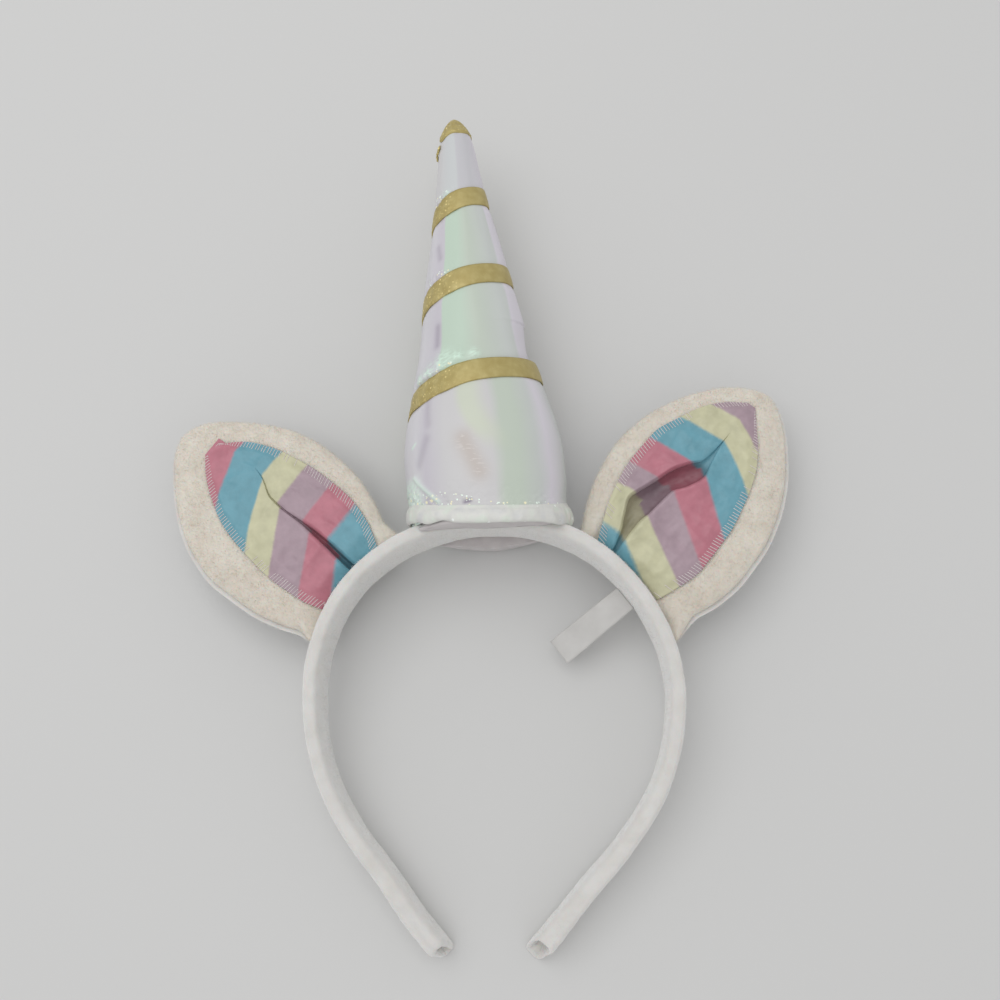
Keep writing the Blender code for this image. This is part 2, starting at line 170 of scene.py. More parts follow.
def pileOn(name, piece, count, length, width, lean, seed, material, slotName, keep=None):
    # short tufts that stand in the surface of a piece, each a slim three-sided spike
    mesh = piece.data
    mesh.calc_loop_triangles()
    corners = np.empty(len(mesh.loop_triangles) * 3, np.int32)
    mesh.loop_triangles.foreach_get("vertices", corners)
    corners = corners.reshape(-1, 3)
    places = np.empty(len(mesh.vertices) * 3)
    mesh.vertices.foreach_get("co", places)
    places = places.reshape(-1, 3) / mm
    a, b, c = places[corners[:, 0]], places[corners[:, 1]], places[corners[:, 2]]
    out = np.cross(b - a, c - a)
    area = np.linalg.norm(out, axis=1)
    out = out / np.maximum(area, 1e-9)[:, None]
    if keep is not None:
        area = area * keep(out)
    draw = np.random.default_rng(seed)
    chosen = draw.choice(len(area), size=count, p=area / area.sum())
    u, v = draw.random(count), draw.random(count)
    over = u + v > 1
    u[over], v[over] = 1 - u[over], 1 - v[over]
    root = a[chosen] + (b - a)[chosen] * u[:, None] + (c - a)[chosen] * v[:, None]
    up = out[chosen]
    side = draw.normal(size=(count, 3))
    side -= up * np.sum(side * up, axis=1)[:, None]
    side /= np.linalg.norm(side, axis=1)[:, None]
    across = np.cross(up, side)
    tall = length * draw.uniform(*tuft["lengths"], count)[:, None]
    tip = root + (up + side * lean * draw.uniform(*tuft["leans"], count)[:, None]) * tall
    foot = root - up * tuft["rooted"]
    base = [foot + side * width * math.cos(t) + across * width * math.sin(t)
            for t in (0.0, 2 * math.pi / 3, 4 * math.pi / 3)]
    points = np.stack([*base, tip], 1).reshape(-1, 3)
    points[:, 2] = np.maximum(points[:, 2], tuft["lowest"])
    first = np.arange(count)[:, None] * 4
    faces = np.concatenate([first + np.array(t) for t in ((0, 1, 3), (1, 2, 3), (2, 0, 3), (0, 2, 1))])
    mesh = bpy.data.meshes.new(name)
    mesh.from_pydata((points * mm).tolist(), [], faces.tolist())
    mesh.materials.append(material)
    tufts = bpy.data.objects.new(name, mesh)
    bpy.context.scene.collection.objects.link(tufts)
    return settle(tufts, slotName)


def threadAlong(lines, thick, sides=4):
    # round threads along lists of points, as one set of points and faces
    points, faces = [], []
    for line in lines:
        ahead = np.gradient(line, axis=0)
        ahead /= np.maximum(np.linalg.norm(ahead, axis=1), 1e-9)[:, None]
        side = np.cross(ahead, [0.0, 0.0, 1.0])
        side /= np.maximum(np.linalg.norm(side, axis=1), 1e-3)[:, None]
        up = np.cross(side, ahead)
        start = len(points)
        for spot, s, u in zip(line, side, up):
            for k in range(sides):
                turn = 2 * math.pi * k / sides
                points.append(spot + (s * math.cos(turn) + u * math.sin(turn)) * thick / 2)
        faces += [[i + start for i in face] for face in tubeFaces(len(line), sides)]
    return points, faces


# Tools for materials

socketNames = {"metallic": "Metallic", "sheen": "Sheen Weight", "sheenRoughness": "Sheen Roughness",
               "soft": "Subsurface Weight", "softScale": "Subsurface Scale", "specular": "Specular IOR Level"}


def newMaterial(name, colour, roughness, **more):
    material = bpy.data.materials.new(name)
    material.use_nodes = True
    shader = material.node_tree.nodes["Principled BSDF"]
    shader.inputs["Base Color"].default_value = (*colour, 1.0)
    shader.inputs["Roughness"].default_value = roughness
    for key, value in more.items():
        shader.inputs[socketNames[key]].default_value = value
    return material, material.node_tree, shader


def scaledPlace(tree, size, stretch=(1, 1, 1)):
    # the piece's own coordinates, counted in steps of that many mm
    place = tree.nodes.new("ShaderNodeTexCoord")
    scale = tree.nodes.new("ShaderNodeMapping")
    scale.inputs["Scale"].default_value = [s / (size * mm) for s in stretch]
    tree.links.new(place.outputs["Object"], scale.inputs["Vector"])
    return scale.outputs["Vector"]


def addNoise(tree, size, detail=3.0, distortion=0.0, stretch=(1, 1, 1)):
    cloud = tree.nodes.new("ShaderNodeTexNoise")
    cloud.inputs["Scale"].default_value = 1.0
    cloud.inputs["Detail"].default_value = detail
    cloud.inputs["Distortion"].default_value = distortion
    tree.links.new(scaledPlace(tree, size, stretch), cloud.inputs["Vector"])
    return cloud.outputs["Fac"]


def addSpecks(tree, size, share, reach):
    # round specks in some of the cells of that size: how much of a speck is here, and a number for each cell
    cells = tree.nodes.new("ShaderNodeTexVoronoi")
    cells.inputs["Scale"].default_value = 1.0
    tree.links.new(scaledPlace(tree, size), cells.inputs["Vector"])
    split = tree.nodes.new("ShaderNodeSeparateColor")
    tree.links.new(cells.outputs["Color"], split.inputs["Color"])
    chosen = addMath(tree, "LESS_THAN", split.outputs["Red"], share)
    near = addMath(tree, "LESS_THAN", cells.outputs["Distance"], reach)
    return addMath(tree, "MULTIPLY", chosen, near), split.outputs["Green"]


def addBump(tree, shader, height, depth, under=None):
    bump = tree.nodes.new("ShaderNodeBump")
    bump.inputs["Distance"].default_value = depth * mm
    bump.inputs["Strength"].default_value = 1.0
    tree.links.new(height, bump.inputs["Height"])
    if under is not None:
        tree.links.new(under, bump.inputs["Normal"])
    tree.links.new(bump.outputs["Normal"], shader.inputs["Normal"])
    return bump.outputs["Normal"]


def addRamp(tree, value, stops):
    ramp = tree.nodes.new("ShaderNodeValToRGB")
    while len(ramp.color_ramp.elements) < len(stops):
        ramp.color_ramp.elements.new(0.5)
    for element, (spot, colour) in zip(ramp.color_ramp.elements, stops):
        element.position = spot
        element.color = (*colour, 1.0)
    tree.links.new(value, ramp.inputs["Fac"])
    return ramp.outputs["Color"]


def addMix(tree, share, first, second, blend="MIX"):
    mix = tree.nodes.new("ShaderNodeMix")
    mix.data_type = "RGBA"
    mix.blend_type = blend
    shareSocket, firstSocket, secondSocket = mix.inputs[0], mix.inputs[6], mix.inputs[7]
    for socket, value in ((shareSocket, share), (firstSocket, first), (secondSocket, second)):
        if isinstance(value, (int, float)):
            socket.default_value = value
        elif isinstance(value, tuple):
            socket.default_value = (*value, 1.0)
        else:
            tree.links.new(value, socket)
    return mix.outputs[2]


def addMath(tree, operation, first, second):
    node = tree.nodes.new("ShaderNodeMath")
    node.operation = operation
    for socket, value in zip(node.inputs, (first, second)):
        if isinstance(value, (int, float)):
            socket.default_value = value
        else:
            tree.links.new(value, socket)
    return node.outputs[0]


def wobble(tree, size, reach, stretch=(1, 1, 1)):
    # a soft number between minus and plus half the reach
    cloud = addNoise(tree, size, 2.0, stretch=stretch)
    return addMath(tree, "MULTIPLY", addMath(tree, "SUBTRACT", cloud, 0.5), reach)


def readTag(tree, name):
    tag = tree.nodes.new("ShaderNodeAttribute")
    tag.attribute_name = name
    return tag.outputs["Fac"]


def clothMaterial(name, deep, pale, roughness, lumpSize, fineSize, depth, **more):
    # matt cloth or pile: two tones in soft lumps, with a fine nap over them
    material, tree, shader = newMaterial(name, pale, roughness, **more)
    tone = addNoise(tree, lumpSize, 4.0)
    colour = addRamp(tree, tone, ((0.30, deep), (0.66, pale)))
    tree.links.new(colour, shader.inputs["Base Color"])
    coarse = addNoise(tree, fineSize * 3.2, 3.0)
    fine = addNoise(tree, fineSize, 2.0)
    first = addBump(tree, shader, coarse, depth * 1.6)
    addBump(tree, shader, fine, depth, first)
    return material


# Camera, light and floor

view = {"place": (0.02943, -0.07202, 0.3764), "heading": 14.52, "dip": 77.18, "roll": -11.88,
        "lens": 37.8, "sensor": 36.0}
light = {"horizon": 0.70, "slope": 0.66, "zenith": 0.60, "slopeRise": 0.42,
         "lampPower": 5.0, "lampSize": 1.1, "lampPlace": (-0.28, 0.20, 1.1)}
floorLook = {"colour": (0.658, 0.658, 0.653), "roughness": 0.75, "specular": 0.2, "half": 4.0,
             "below": 0.00005}


def makeCamera():
    camera = bpy.data.cameras.new("camera")
    camera.lens = view["lens"]
    camera.sensor_width = view["sensor"]
    camera.clip_start = 0.01
    holder = bpy.data.objects.new("camera", camera)
    bpy.context.scene.collection.objects.link(holder)
    heading, dip = math.radians(view["heading"]), math.radians(view["dip"])
    ahead = Vector((-math.sin(heading) * math.cos(dip), math.cos(heading) * math.cos(dip), -math.sin(dip)))
    turn = ahead.to_track_quat("-Z", "Y").to_matrix() @ Matrix.Rotation(math.radians(view["roll"]), 3, "Z")
    holder.matrix_world = Matrix.Translation(view["place"]) @ turn.to_4x4()
    bpy.context.scene.camera = holder


def makeLight():
    # a pale room that is brighter near the horizon, and one wide lamp at the upper left
    world = bpy.data.worlds.new("studio")
    bpy.context.scene.world = world
    world.use_nodes = True
    tree = world.node_tree
    direction = tree.nodes.new("ShaderNodeTexCoord")
    split = tree.nodes.new("ShaderNodeSeparateXYZ")
    tree.links.new(direction.outputs["Generated"], split.inputs["Vector"])
    greys = [(light[key],) * 3 for key in ("horizon", "slope", "zenith")]
    stops = ((0.0, greys[0]), (light["slopeRise"], greys[1]), (1.0, greys[2]))
    sky = addRamp(tree, split.outputs["Z"], stops)
    tree.links.new(sky, tree.nodes["Background"].inputs["Color"])
    lamp = bpy.data.lights.new("lamp", "AREA")
    lamp.energy = light["lampPower"]
    lamp.size = light["lampSize"]
    holder = bpy.data.objects.new("lamp", lamp)
    bpy.context.scene.collection.objects.link(holder)
    holder.location = light["lampPlace"]
    holder.rotation_euler = (-Vector(light["lampPlace"])).to_track_quat("-Z", "Y").to_euler()
    bpy.context.scene.view_settings.view_transform = "Standard"
    bpy.context.scene.view_settings.look = "None"


def makeFloor():
    material = newMaterial("floor", floorLook["colour"], floorLook["roughness"],
                           specular=floorLook["specular"])[0]
    half = floorLook["half"]
    corners = [(-half, -half, 0), (half, -half, 0), (half, half, 0), (-half, half, 0)]
    mesh = bpy.data.meshes.new("floor")
    mesh.from_pydata(corners, [], [(0, 1, 2, 3)])
    mesh.materials.append(material)
    floor = bpy.data.objects.new("floor", mesh)
    bpy.context.scene.collection.objects.link(floor)
    # just under the part, so that the two don't flicker
    floor.location.z = -floorLook["below"]


makeCamera()
makeLight()
makeFloor()
print("camera, light and floor are ready")


# Band: a fleece sleeve over the hoop

band = {"thickness": 5.8, "tipThickness": 7.2, "crownDepth": 25.0, "tipDepth": 15.5, "crownLift": 12.5,
        "crownY": 71.5, "tipY": -68.0, "leftEnd": -168.0, "rightEnd": 163.5, "square": 0.52,
        "stations": 400, "sides": 54, "settle": 0.5,
        "left": ((-22, 70.7), (0, 71.0), (22, 70.6), (45, 69.0), (65, 65.2), (85, 60.4), (105, 57.2),
                 (125, 55.6), (145, 57.2), (157, 62.4), (169, 70.4)),
        "right": ((-22, 70.6), (0, 71.0), (22, 70.7), (45, 67.8), (65, 64.7), (85, 60.6), (105, 57.4),
                  (125, 55.6), (145, 58.2), (157, 64.0), (169, 73.0)),
        # tucked ends of the sleeve: length past the last station, share of its height and of its width
        "leftMouth": ((0.6, 0.99, 0.98), (1.2, 0.96, 0.94), (1.8, 0.91, 0.84), (2.2, 0.84, 0.68),
                      (2.1, 0.76, 0.50), (1.4, 0.68, 0.34), (0.0, 0.62, 0.24), (-2.2, 0.56, 0.18)),
        "rightMouth": ((0.6, 0.99, 0.98), (1.2, 0.97, 0.96), (1.7, 0.93, 0.91), (1.9, 0.87, 0.83),
                       (1.6, 0.79, 0.73), (0.7, 0.71, 0.63), (-0.9, 0.65, 0.56), (-3.0, 0.61, 0.50),
                       (-5.0, 0.58, 0.46)),
        "leftSlant": 0.32, "rightSlant": 0.52, "seamDepth": 1.1,
        # gathers round the mouths: strength, number, twist and share of it in height; reach of a mouth's slant
        "gather": 0.22, "gathers": 7, "gatherTwist": 3, "gatherUp": 0.6, "slantReach": 9.0,
        "lumps": ((0.20, 9.0, 1), (0.13, 3.2, 2), (0.07, 1.3, 3)), "bends": (130, 165), "ripple": 0.34,
        "seamFrom": 2, "seamTo": 13, "seamTop": (0.6, 0.95), "seamWidth": 0.8,
        "pile": 22000, "pileLength": 0.62, "pileWidth": 0.055, "pileLean": 0.9}


def bandCentre(angles):
    angles = np.asarray(angles, float)
    radius = np.where(angles >= 0, curveThrough(band["right"], np.abs(angles), True),
                      curveThrough(band["left"], np.abs(angles), True))
    turn = np.radians(angles)
    return np.stack([radius * np.sin(turn), radius * np.cos(turn), np.zeros_like(turn)], -1)


def bandStation(angles):
    # centre, outward and forward directions, thickness, depth and lower edge at angles round the hoop
    angles = np.asarray(angles, float)
    here = bandCentre(angles)
    forward = bandCentre(angles + 0.5) - bandCentre(angles - 0.5)
    forward /= np.linalg.norm(forward, axis=-1)[..., None]
    outward = np.stack([-forward[..., 1], forward[..., 0], np.zeros_like(forward[..., 0])], -1)
    share = np.clip((band["crownY"] - here[..., 1]) / (band["crownY"] - band["tipY"]), 0, 1)
    depth = band["crownDepth"] + (band["tipDepth"] - band["crownDepth"]) * share
    swell = np.clip((share - 0.6) / 0.4, 0, 1)
    thickness = band["thickness"] + (band["tipThickness"] - band["thickness"]) * swell
    lower = band["crownLift"] * (1 - share) - band["settle"] * share
    return here, outward, forward, thickness, depth, lower


def makeBand(material):
    # rows of angle, shares of height and width, and length past the last station
    places = [(band["leftEnd"], high, wide, -length) for length, high, wide in reversed(band["leftMouth"])]
    places += [(angle, 1.0, 1.0, 0.0)
               for angle in np.linspace(band["leftEnd"], band["rightEnd"], band["stations"])]
    places += [(band["rightEnd"], high, wide, length) for length, high, wide in band["rightMouth"]]
    places = np.array(places)
    here, outward, forward, thickness, depth, lower = bandStation(places[:, 0])
    turn = 2 * math.pi * np.arange(band["sides"]) / band["sides"]
    wide = np.sign(np.cos(turn)) * np.abs(np.cos(turn)) ** band["square"]
    high = np.sign(np.sin(turn)) * np.abs(np.sin(turn)) ** band["square"]
    highShare, wideShare, push = (places[:, k:k + 1] for k in (1, 2, 3))
    # the sleeve is gathered round each tucked mouth
    wave = np.cos(band["gathers"] * turn[None, :] + band["gatherTwist"] * wideShare)
    gather = (1 - wideShare) * band["gather"] * wave
    across = wide * thickness[:, None] / 2 * wideShare * (1 + gather)
    up = high * depth[:, None] / 2 * highShare * (1 + gather * band["gatherUp"])
    # the slant of a mouth starts well before it, so that its upper edge lies back
    fromEnd = np.minimum(places[:, 0] - band["leftEnd"], band["rightEnd"] - places[:, 0])[:, None]
    endSlant = np.where(places[:, :1] < 0, -band["leftSlant"], band["rightSlant"])
    ahead = push - endSlant * up * (1 - fadeIn(fromEnd, 0.0, band["slantReach"]))
    points = here[:, None, :] + outward[:, None, :] * across[..., None]
    points = points + forward[:, None, :] * ahead[..., None]
    points[..., 2] = (lower + depth / 2)[:, None] + up
    normal = outward[:, None, :] * wide[None, :, None] + np.array([0, 0, 1.0]) * high[None, :, None]
    normal /= np.linalg.norm(normal, axis=-1)[..., None]
    swell = layered(points, band["lumps"])
    # fine ripples where the sleeve bends most, near the tips
    bend = fadeIn(np.abs(places[:, :1]), *band["bends"])
    swell += bend * band["ripple"] * lumps(points * np.array([1.0, 1.0, 0.35]), 2.6, 4)
    # the closing seam shows as a groove along the top of the left tip
    fromTip = places[:, :1] - band["leftEnd"]
    seam = (1 - fadeIn(fromTip, band["seamFrom"], band["seamTo"])) * fadeIn(high, *band["seamTop"])
    swell -= band["seamDepth"] * seam * hump(across, 0.3, band["seamWidth"])
    points = aboveTable(points + normal * swell[..., None])
    return makePiece("band_sleeve", points, tubeFaces(len(places), band["sides"]), material)


fleece = clothMaterial("white fleece", (0.660, 0.645, 0.615), (0.715, 0.703, 0.682), 0.95, 6.0, 0.35, 0.06,
                       sheen=0.9, sheenRoughness=0.6, soft=0.12, softScale=0.0015)
bandPiece = makeBand(fleece)
settle(bandPiece, "band_fleece", "band")
pileOn("band_pile", bandPiece, band["pile"], band["pileLength"], band["pileWidth"], band["pileLean"], 11,
       fleece, "band_fleece")
print("band is covered")


# Horn: film cloth, stuffed, with a ribbon wound round it

horn = {"foot": (-4.5, 75.3, 25.5), "lean": 8.0, "rise": 2.0, "start": -4.4, "end": 139.5,
        "rings": 336, "sides": 280,
        "profile": ((0, 26.4), (8, 27.3), (18, 27.4), (28, 26.2), (37, 24.1), (45, 22.3), (56, 19.7),
                    (68, 17.7), (80, 15.7), (95, 12.9), (110, 10.0), (125, 7.7), (138, 5.7), (146, 1.0)),
        # the film's edge, folded in behind the hem: distance up the horn and radius
        "foldedIn": ((1.3, 0.5), (1.3, 20.0), (0.8, 24.7), (-3.4, 25.0), (-4.4, 25.8)),
        # flat facets up the horn: height, size and how far they are drawn out
        "facet": 0.34, "facetSize": 5.2, "facetStretch": 0.22,
        "cinch": 0.6, "cinchReach": 4.6, "tuck": 2.0, "tuckTurn": 0.25, "tuckReach": 0.13, "tuckFades": 24.0,
        # puffs of film that stand up beside the ribbon: distance up the horn, turns, size and height
        "puffs": ((48.4, -0.075, 3.6, 1.3), (45.7, -0.118, 3.2, 1.2), (44.6, -0.152, 2.6, 1.1),
                  (49.2, -0.038, 2.0, 0.9), (49.6, 0.004, 1.8, 0.8), (113.6, -0.085, 1.5, 0.5)),
        # sharp folds from one place to another: distance and turns at both ends, width and height
        "folds": ((10.5, -0.160, 0.5, -0.095, 0.8, 0.6), (20.6, -0.158, 21.8, -0.145, 0.5, 0.2)),
        # dents, darkened with painted shade: the same, with a depth and how dark the painted shade is
        "dents": ((62.0, -0.105, 55.5, -0.105, 1.5, 0.35, 0.42), (34.0, -0.117, 27.0, -0.110, 1.7, 0.3, 0.22),
                  (22.0, -0.114, 14.5, -0.140, 1.9, 0.3, 0.26), (93.0, -0.122, 88.5, -0.108, 1.2, 0.2, 0.30),
                  (-0.9, -0.040, -0.7, -0.028, 0.6, 0.5, 0.9)),
        # gathers beside the ribbon and crumpled film above the hem
        "gather": {"starts": (3.6, 5.0), "above": 2.6, "below": 2.0, "belowShare": 0.4, "rightShare": 0.08,
                   "layers": ((0.34, 2.3, 6), (0.18, 1.2, 7)), "less": 0.2},
        "crumple": {"reach": 5.5, "rightShare": 0.45, "layers": ((0.42, 2.6, 8), (0.24, 1.3, 9)), "less": 0.3},
        # how bright the painted highlights are in the puffs' gaps, on the folds and on the crushed corner at
        # the lower left
        "puffGap": 0.15, "foldBright": 0.6, "cornerBright": 0.75,
        # the pale ray: where it starts, how far it swings and its strength
        "rayStart": -0.042, "raySwing": 0.044, "rayShare": 0.75,
        "worn": (19.5, -0.030, 8.5, -0.006, 3.4)}
ribbon = {"climb": ((-0.45, 29.5), (-0.25, 36.2), (-0.12, 39.8), (0.0, 43.4), (0.12, 44.7), (0.25, 46.2),
                    (0.5, 57.5), (0.75, 72.2), (0.87, 75.6), (1.0, 79.2), (1.12, 81.0), (1.25, 82.8),
                    (1.5, 94.0), (1.75, 105.4), (1.87, 107.8), (2.0, 110.8), (2.12, 112.4), (2.25, 113.8),
                    (2.5, 123.4), (2.75, 132.2), (2.84, 134.6)),
          # the turns that count as wound: from a little before its start to its narrow end, and where the
          # first whole pass starts
          "before": 0.04, "narrowEnd": 0.1, "firstPass": -0.4,
          "width": 7.3, "widen": 0.9, "widenTurn": -0.07, "widenReach": 0.09, "endShare": 0.15,
          "endTurns": 0.36,
          "thickness": 0.38, "gap": 0.18, "stepsPerTurn": 200, "columns": 13}
tipWrap = {"profile": ((138.6, 5.75), (139.6, 5.75), (141.0, 5.05), (142.6, 4.2), (144.2, 3.1), (145.6, 1.9),
                       (146.7, 0.5)), "sides": 72, "rings": 46, "crinkle": 0.34, "curl": 1.9}
foot = {"top": (-1.28, -0.09, -0.192), "low": (-6.97, -0.09, -0.113), "height": 17.0, "radius": 27.0,
        "underTop": 0.8, "underLow": 2.0,
        "lips": ((-0.5, 11.2), (-0.3, 7.8), (-0.16, 6.9), (0.0, 8.1), (0.17, 8.8), (0.32, 9.6), (0.5, 11.2))}


def hornFrame():
    lean, rise = math.radians(horn["lean"]), math.radians(horn["rise"])
    ahead = np.array([-math.sin(lean) * math.cos(rise), math.cos(lean) * math.cos(rise), math.sin(rise)])
    up = np.array([0.0, 0.0, 1.0])
    up = up - ahead * up.dot(ahead)
    up /= np.linalg.norm(up)
    return ahead, up, np.cross(ahead, up)


def hornPoint(distance, turns, radius):
    # distance up the horn, turns from its upper line towards the right side, radius from its axis
    ahead, up, side = hornFrame()
    distance, turns, radius = np.broadcast_arrays(distance, turns, radius)
    angle = 2 * math.pi * turns
    outward = up * np.cos(angle)[..., None] + side * np.sin(angle)[..., None]
    return np.array(horn["foot"]) + ahead * distance[..., None] + outward * radius[..., None]


def aroundHorn(distance, turns, radius, lengthwise=1.0):
    # places on the horn for noise, which is stretched along it where lengthwise is below 1
    angle = 2 * math.pi * turns
    return np.stack(np.broadcast_arrays(np.cos(angle) * radius, np.sin(angle) * radius,
                                        distance * lengthwise), -1)


def nearLine(distance, turns, line, width):
    # 1 on a line from one place of the horn to another, falling to 0 beside it
    girth = 2 * math.pi * float(curveThrough(horn["profile"], (line[0] + line[2]) / 2))
    x, y = distance - line[0], (turns - line[1]) * girth
    alongX, alongY = line[2] - line[0], (line[3] - line[1]) * girth
    share = np.clip((x * alongX + y * alongY) / (alongX ** 2 + alongY ** 2), 0, 1)
    return np.exp(-((x - alongX * share) ** 2 + (y - alongY * share) ** 2) / width ** 2)


def fromRibbon(distance, turns):
    # signed distance up the horn from the nearest pass of the ribbon, and how many passes lie below
    first, last = ribbon["climb"][0][0], ribbon["climb"][-1][0]
    shape = np.broadcast(distance, turns).shape
    nearest, passed = np.full(shape, 99.0), np.zeros(shape)
    for whole in range(-1, 4):
        wound = np.asarray(turns) % 1.0 + whole
        away = distance - curveThrough(ribbon["climb"], wound)
        there = (wound >= first - ribbon["before"]) & (wound <= last - ribbon["narrowEnd"])
        closer = there & (np.abs(away) < np.abs(nearest))
        nearest = np.where(closer, away, nearest)
        passed = passed + np.where((wound > ribbon["firstPass"]) & (wound < last), away > 0, 0)
    return nearest, passed


def hornRadius(distance, turns):
    away = fromRibbon(distance, turns)[0] / horn["cinchReach"]
    return curveThrough(horn["profile"], distance) - horn["cinch"] * np.exp(-away ** 4)


def makeHorn(material):
    rows = np.linspace(horn["start"], horn["end"], horn["rings"])[:, None]
    distance, turns = np.broadcast_arrays(rows, (np.arange(horn["sides"]) / horn["sides"] - 0.5)[None, :])
    radius = hornRadius(distance, turns)
    away, passed = fromRibbon(distance, turns)
    # flat, long facets that run up the stuffed film, and a tuck on the right above the ribbon
    seat = aroundHorn(distance, turns, 16.0, horn["facetStretch"])
    radius += horn["facet"] * lumps(seat, horn["facetSize"], 5) * fadeIn(radius, 4, 14)
    tuckFade = fadeIn(away, 0.0, 5.0) * (1 - fadeIn(away, 6.0, horn["tuckFades"]))
    radius -= horn["tuck"] * hump(turns, horn["tuckTurn"], horn["tuckReach"]) * tuckFade * (passed == 1)
    # gathers beside the ribbon: many on the left and along its upper edge, few on the right
    left = 0.5 - 0.5 * np.sin(2 * math.pi * turns)
    gather, crush = horn["gather"], horn["crumple"]
    full = gather["starts"][1]
    beside = fadeIn(away, *gather["starts"]) * np.exp(-np.maximum(away - full, 0) / gather["above"])
    below = fadeIn(-away, *gather["starts"]) * np.exp(-np.maximum(-away - full, 0) / gather["below"])
    beside += gather["belowShare"] * below
    beside *= gather["rightShare"] + (1 - gather["rightShare"]) * fadeIn(left, 0.45, 0.9)
    fine = aroundHorn(distance, turns, radius, 0.45)
    radius += (layered(fine, gather["layers"], creases) - gather["less"]) * beside
    # crumpled film above the hem
    aboveHem = np.maximum(distance - hemEdges(turns)[0], 0)
    crumple = np.exp(-(aboveHem / crush["reach"]) ** 2)
    crumple *= crush["rightShare"] + (1 - crush["rightShare"]) * fadeIn(left, 0.4, 0.9)
    flat = aroundHorn(distance, turns, radius, 2.0)
    radius += (layered(flat, crush["layers"], creases) - crush["less"]) * crumple
    # painted highlights: pale mint on the puffs, the sharp folds and the crushed corner at the lower left
    paintedHighlight = np.zeros_like(radius)
    broken = np.clip(creases(flat, 1.7, 13), horn["puffGap"], 1)
    for place, turn, size, height in horn["puffs"]:
        puff = nearLine(distance, turns, (place, turn, place + 0.01, turn), size)
        radius += puff * height * fadeIn(away, 3.4, 4.6)
        paintedHighlight = np.maximum(paintedHighlight, puff * fadeIn(away, 3.3, 4.2) * broken)
    for *line, width, height in horn["folds"]:
        fold = nearLine(distance, turns, line, width)
        radius += fold * height
        paintedHighlight = np.maximum(paintedHighlight, horn["foldBright"] * fold)
    # painted shade: the dents are darkened in colour
    paintedDentShade = np.zeros_like(radius)
    for *line, width, depth, shade in horn["dents"]:
        dent = nearLine(distance, turns, line, width)
        radius -= dent * depth
        paintedDentShade = np.maximum(paintedDentShade, dent * shade)
    # painted highlight on the crushed corner at the lower left, broken up by creases
    corner = (1 - fadeIn(turns, -0.165, -0.125)) * (1 - fadeIn(distance, 8.0, 12.5))
    corner *= fadeIn(turns, -0.32, -0.26)
    paintedHighlight = np.maximum(paintedHighlight, horn["cornerBright"] * corner * (0.5 + 0.5 * creases(flat, 2.0, 12)))
    # a ray of pale yellow runs down from the ribbon and tapers out towards the worn place
    fromEdge = turns - (horn["rayStart"] + horn["raySwing"] * np.clip((35 - distance) / 17, 0, 2) ** 1.6)
    ray = fadeIn(fromEdge, -0.012, 0.012) * (1 - fadeIn(fromEdge, 0.026, 0.070))
    ray *= horn["rayShare"] * fadeIn(distance, 13, 24) * (passed == 0)
    worn = nearLine(distance, turns, horn["worn"][:4], horn["worn"][4])
    radius = np.maximum(radius, 0.5)
    folded = [hornPoint(place, turns[:1], np.full_like(turns[:1], size)) for place, size in horn["foldedIn"]]
    count = len(folded)
    points = aboveTable(np.concatenate([*folded, hornPoint(distance, turns, radius)]))
    piece = makePiece("horn_film", points, tubeFaces(*points.shape[:2]), material)
    tags = {"turn": turns + 0.5, "foot": (passed == 0) * 1.0, "tip": (passed >= 3) * 1.0,
            "crumple": np.clip(beside + crumple, 0, 1), "paintedHighlight": paintedHighlight, "paintedDentShade": paintedDentShade, "ray": ray,
            "worn": worn}
    for name, values in tags.items():
        tagPoints(piece, name, np.concatenate([np.repeat(values[:1], count, 0), values]))
    return piece


# tints of the pearly film; their bands round the horn are painted reflection of its iridescence, and violet is
# made paler as painted light
filmColours = {"pearl": (0.670, 0.660, 0.695), "mauve": (0.600, 0.575, 0.628),
               "mint": (0.545, 0.665, 0.560), "leaf": (0.560, 0.625, 0.545), "sage": (0.547, 0.610, 0.532),
               "grey": (0.600, 0.630, 0.612), "violet": (0.720, 0.690, 0.752),
               "lemon": (0.620, 0.670, 0.530), "cloud": (0.630, 0.622, 0.630),
               "ice": (0.600, 0.620, 0.628), "smoke": (0.576, 0.571, 0.600)}
filmLook = {"footStops": ((0.00, "sage"), (0.12, "mint"), (0.20, "pearl"), (0.355, "pearl"), (0.385, "mauve"),
                          (0.43, "cloud"), (0.52, "cloud"), (0.545, "sage"), (0.575, "leaf"), (0.615, "grey"),
                          (0.645, "violet"), (0.72, "grey"), (0.82, "pearl"), (1.0, "sage")),
            "bodyStops": ((0.00, "grey"), (0.12, "mint"), (0.20, "pearl"), (0.33, "pearl"),
                          (0.395, "mauve"), (0.412, "mauve"), (0.418, "mint"), (0.475, "mint"), (0.512, "leaf"),
                          (0.522, "sage"), (0.60, "grey"), (0.632, "grey"), (0.645, "violet"), (0.72, "violet"),
                          (0.80, "pearl"), (1.0, "grey")),
            "tipStops": ((0.00, "grey"), (0.22, "pearl"), (0.34, "cloud"), (0.43, "ice"), (0.49, "ice"),
                         (0.505, "smoke"), (0.60, "smoke"), (0.70, "violet"), (1.0, "grey")),
            # glint, warmGlint and puff are painted highlight colours, dent a painted shade colour
            "glint": (0.86, 0.97, 0.88), "warmGlint": (0.95, 0.90, 0.62), "puff": (0.72, 0.93, 0.79),
            "dent": (0.250, 0.205, 0.285), "wornTone": (0.545, 0.490, 0.455), "scratch": (0.76, 0.72, 0.70),
            "sparkles": ((1.7, 0.40, 0.27), (1.0, 0.34, 0.32)), "sparklesFrom": 0.42,
            "roughness": 0.40, "specular": 0.42}


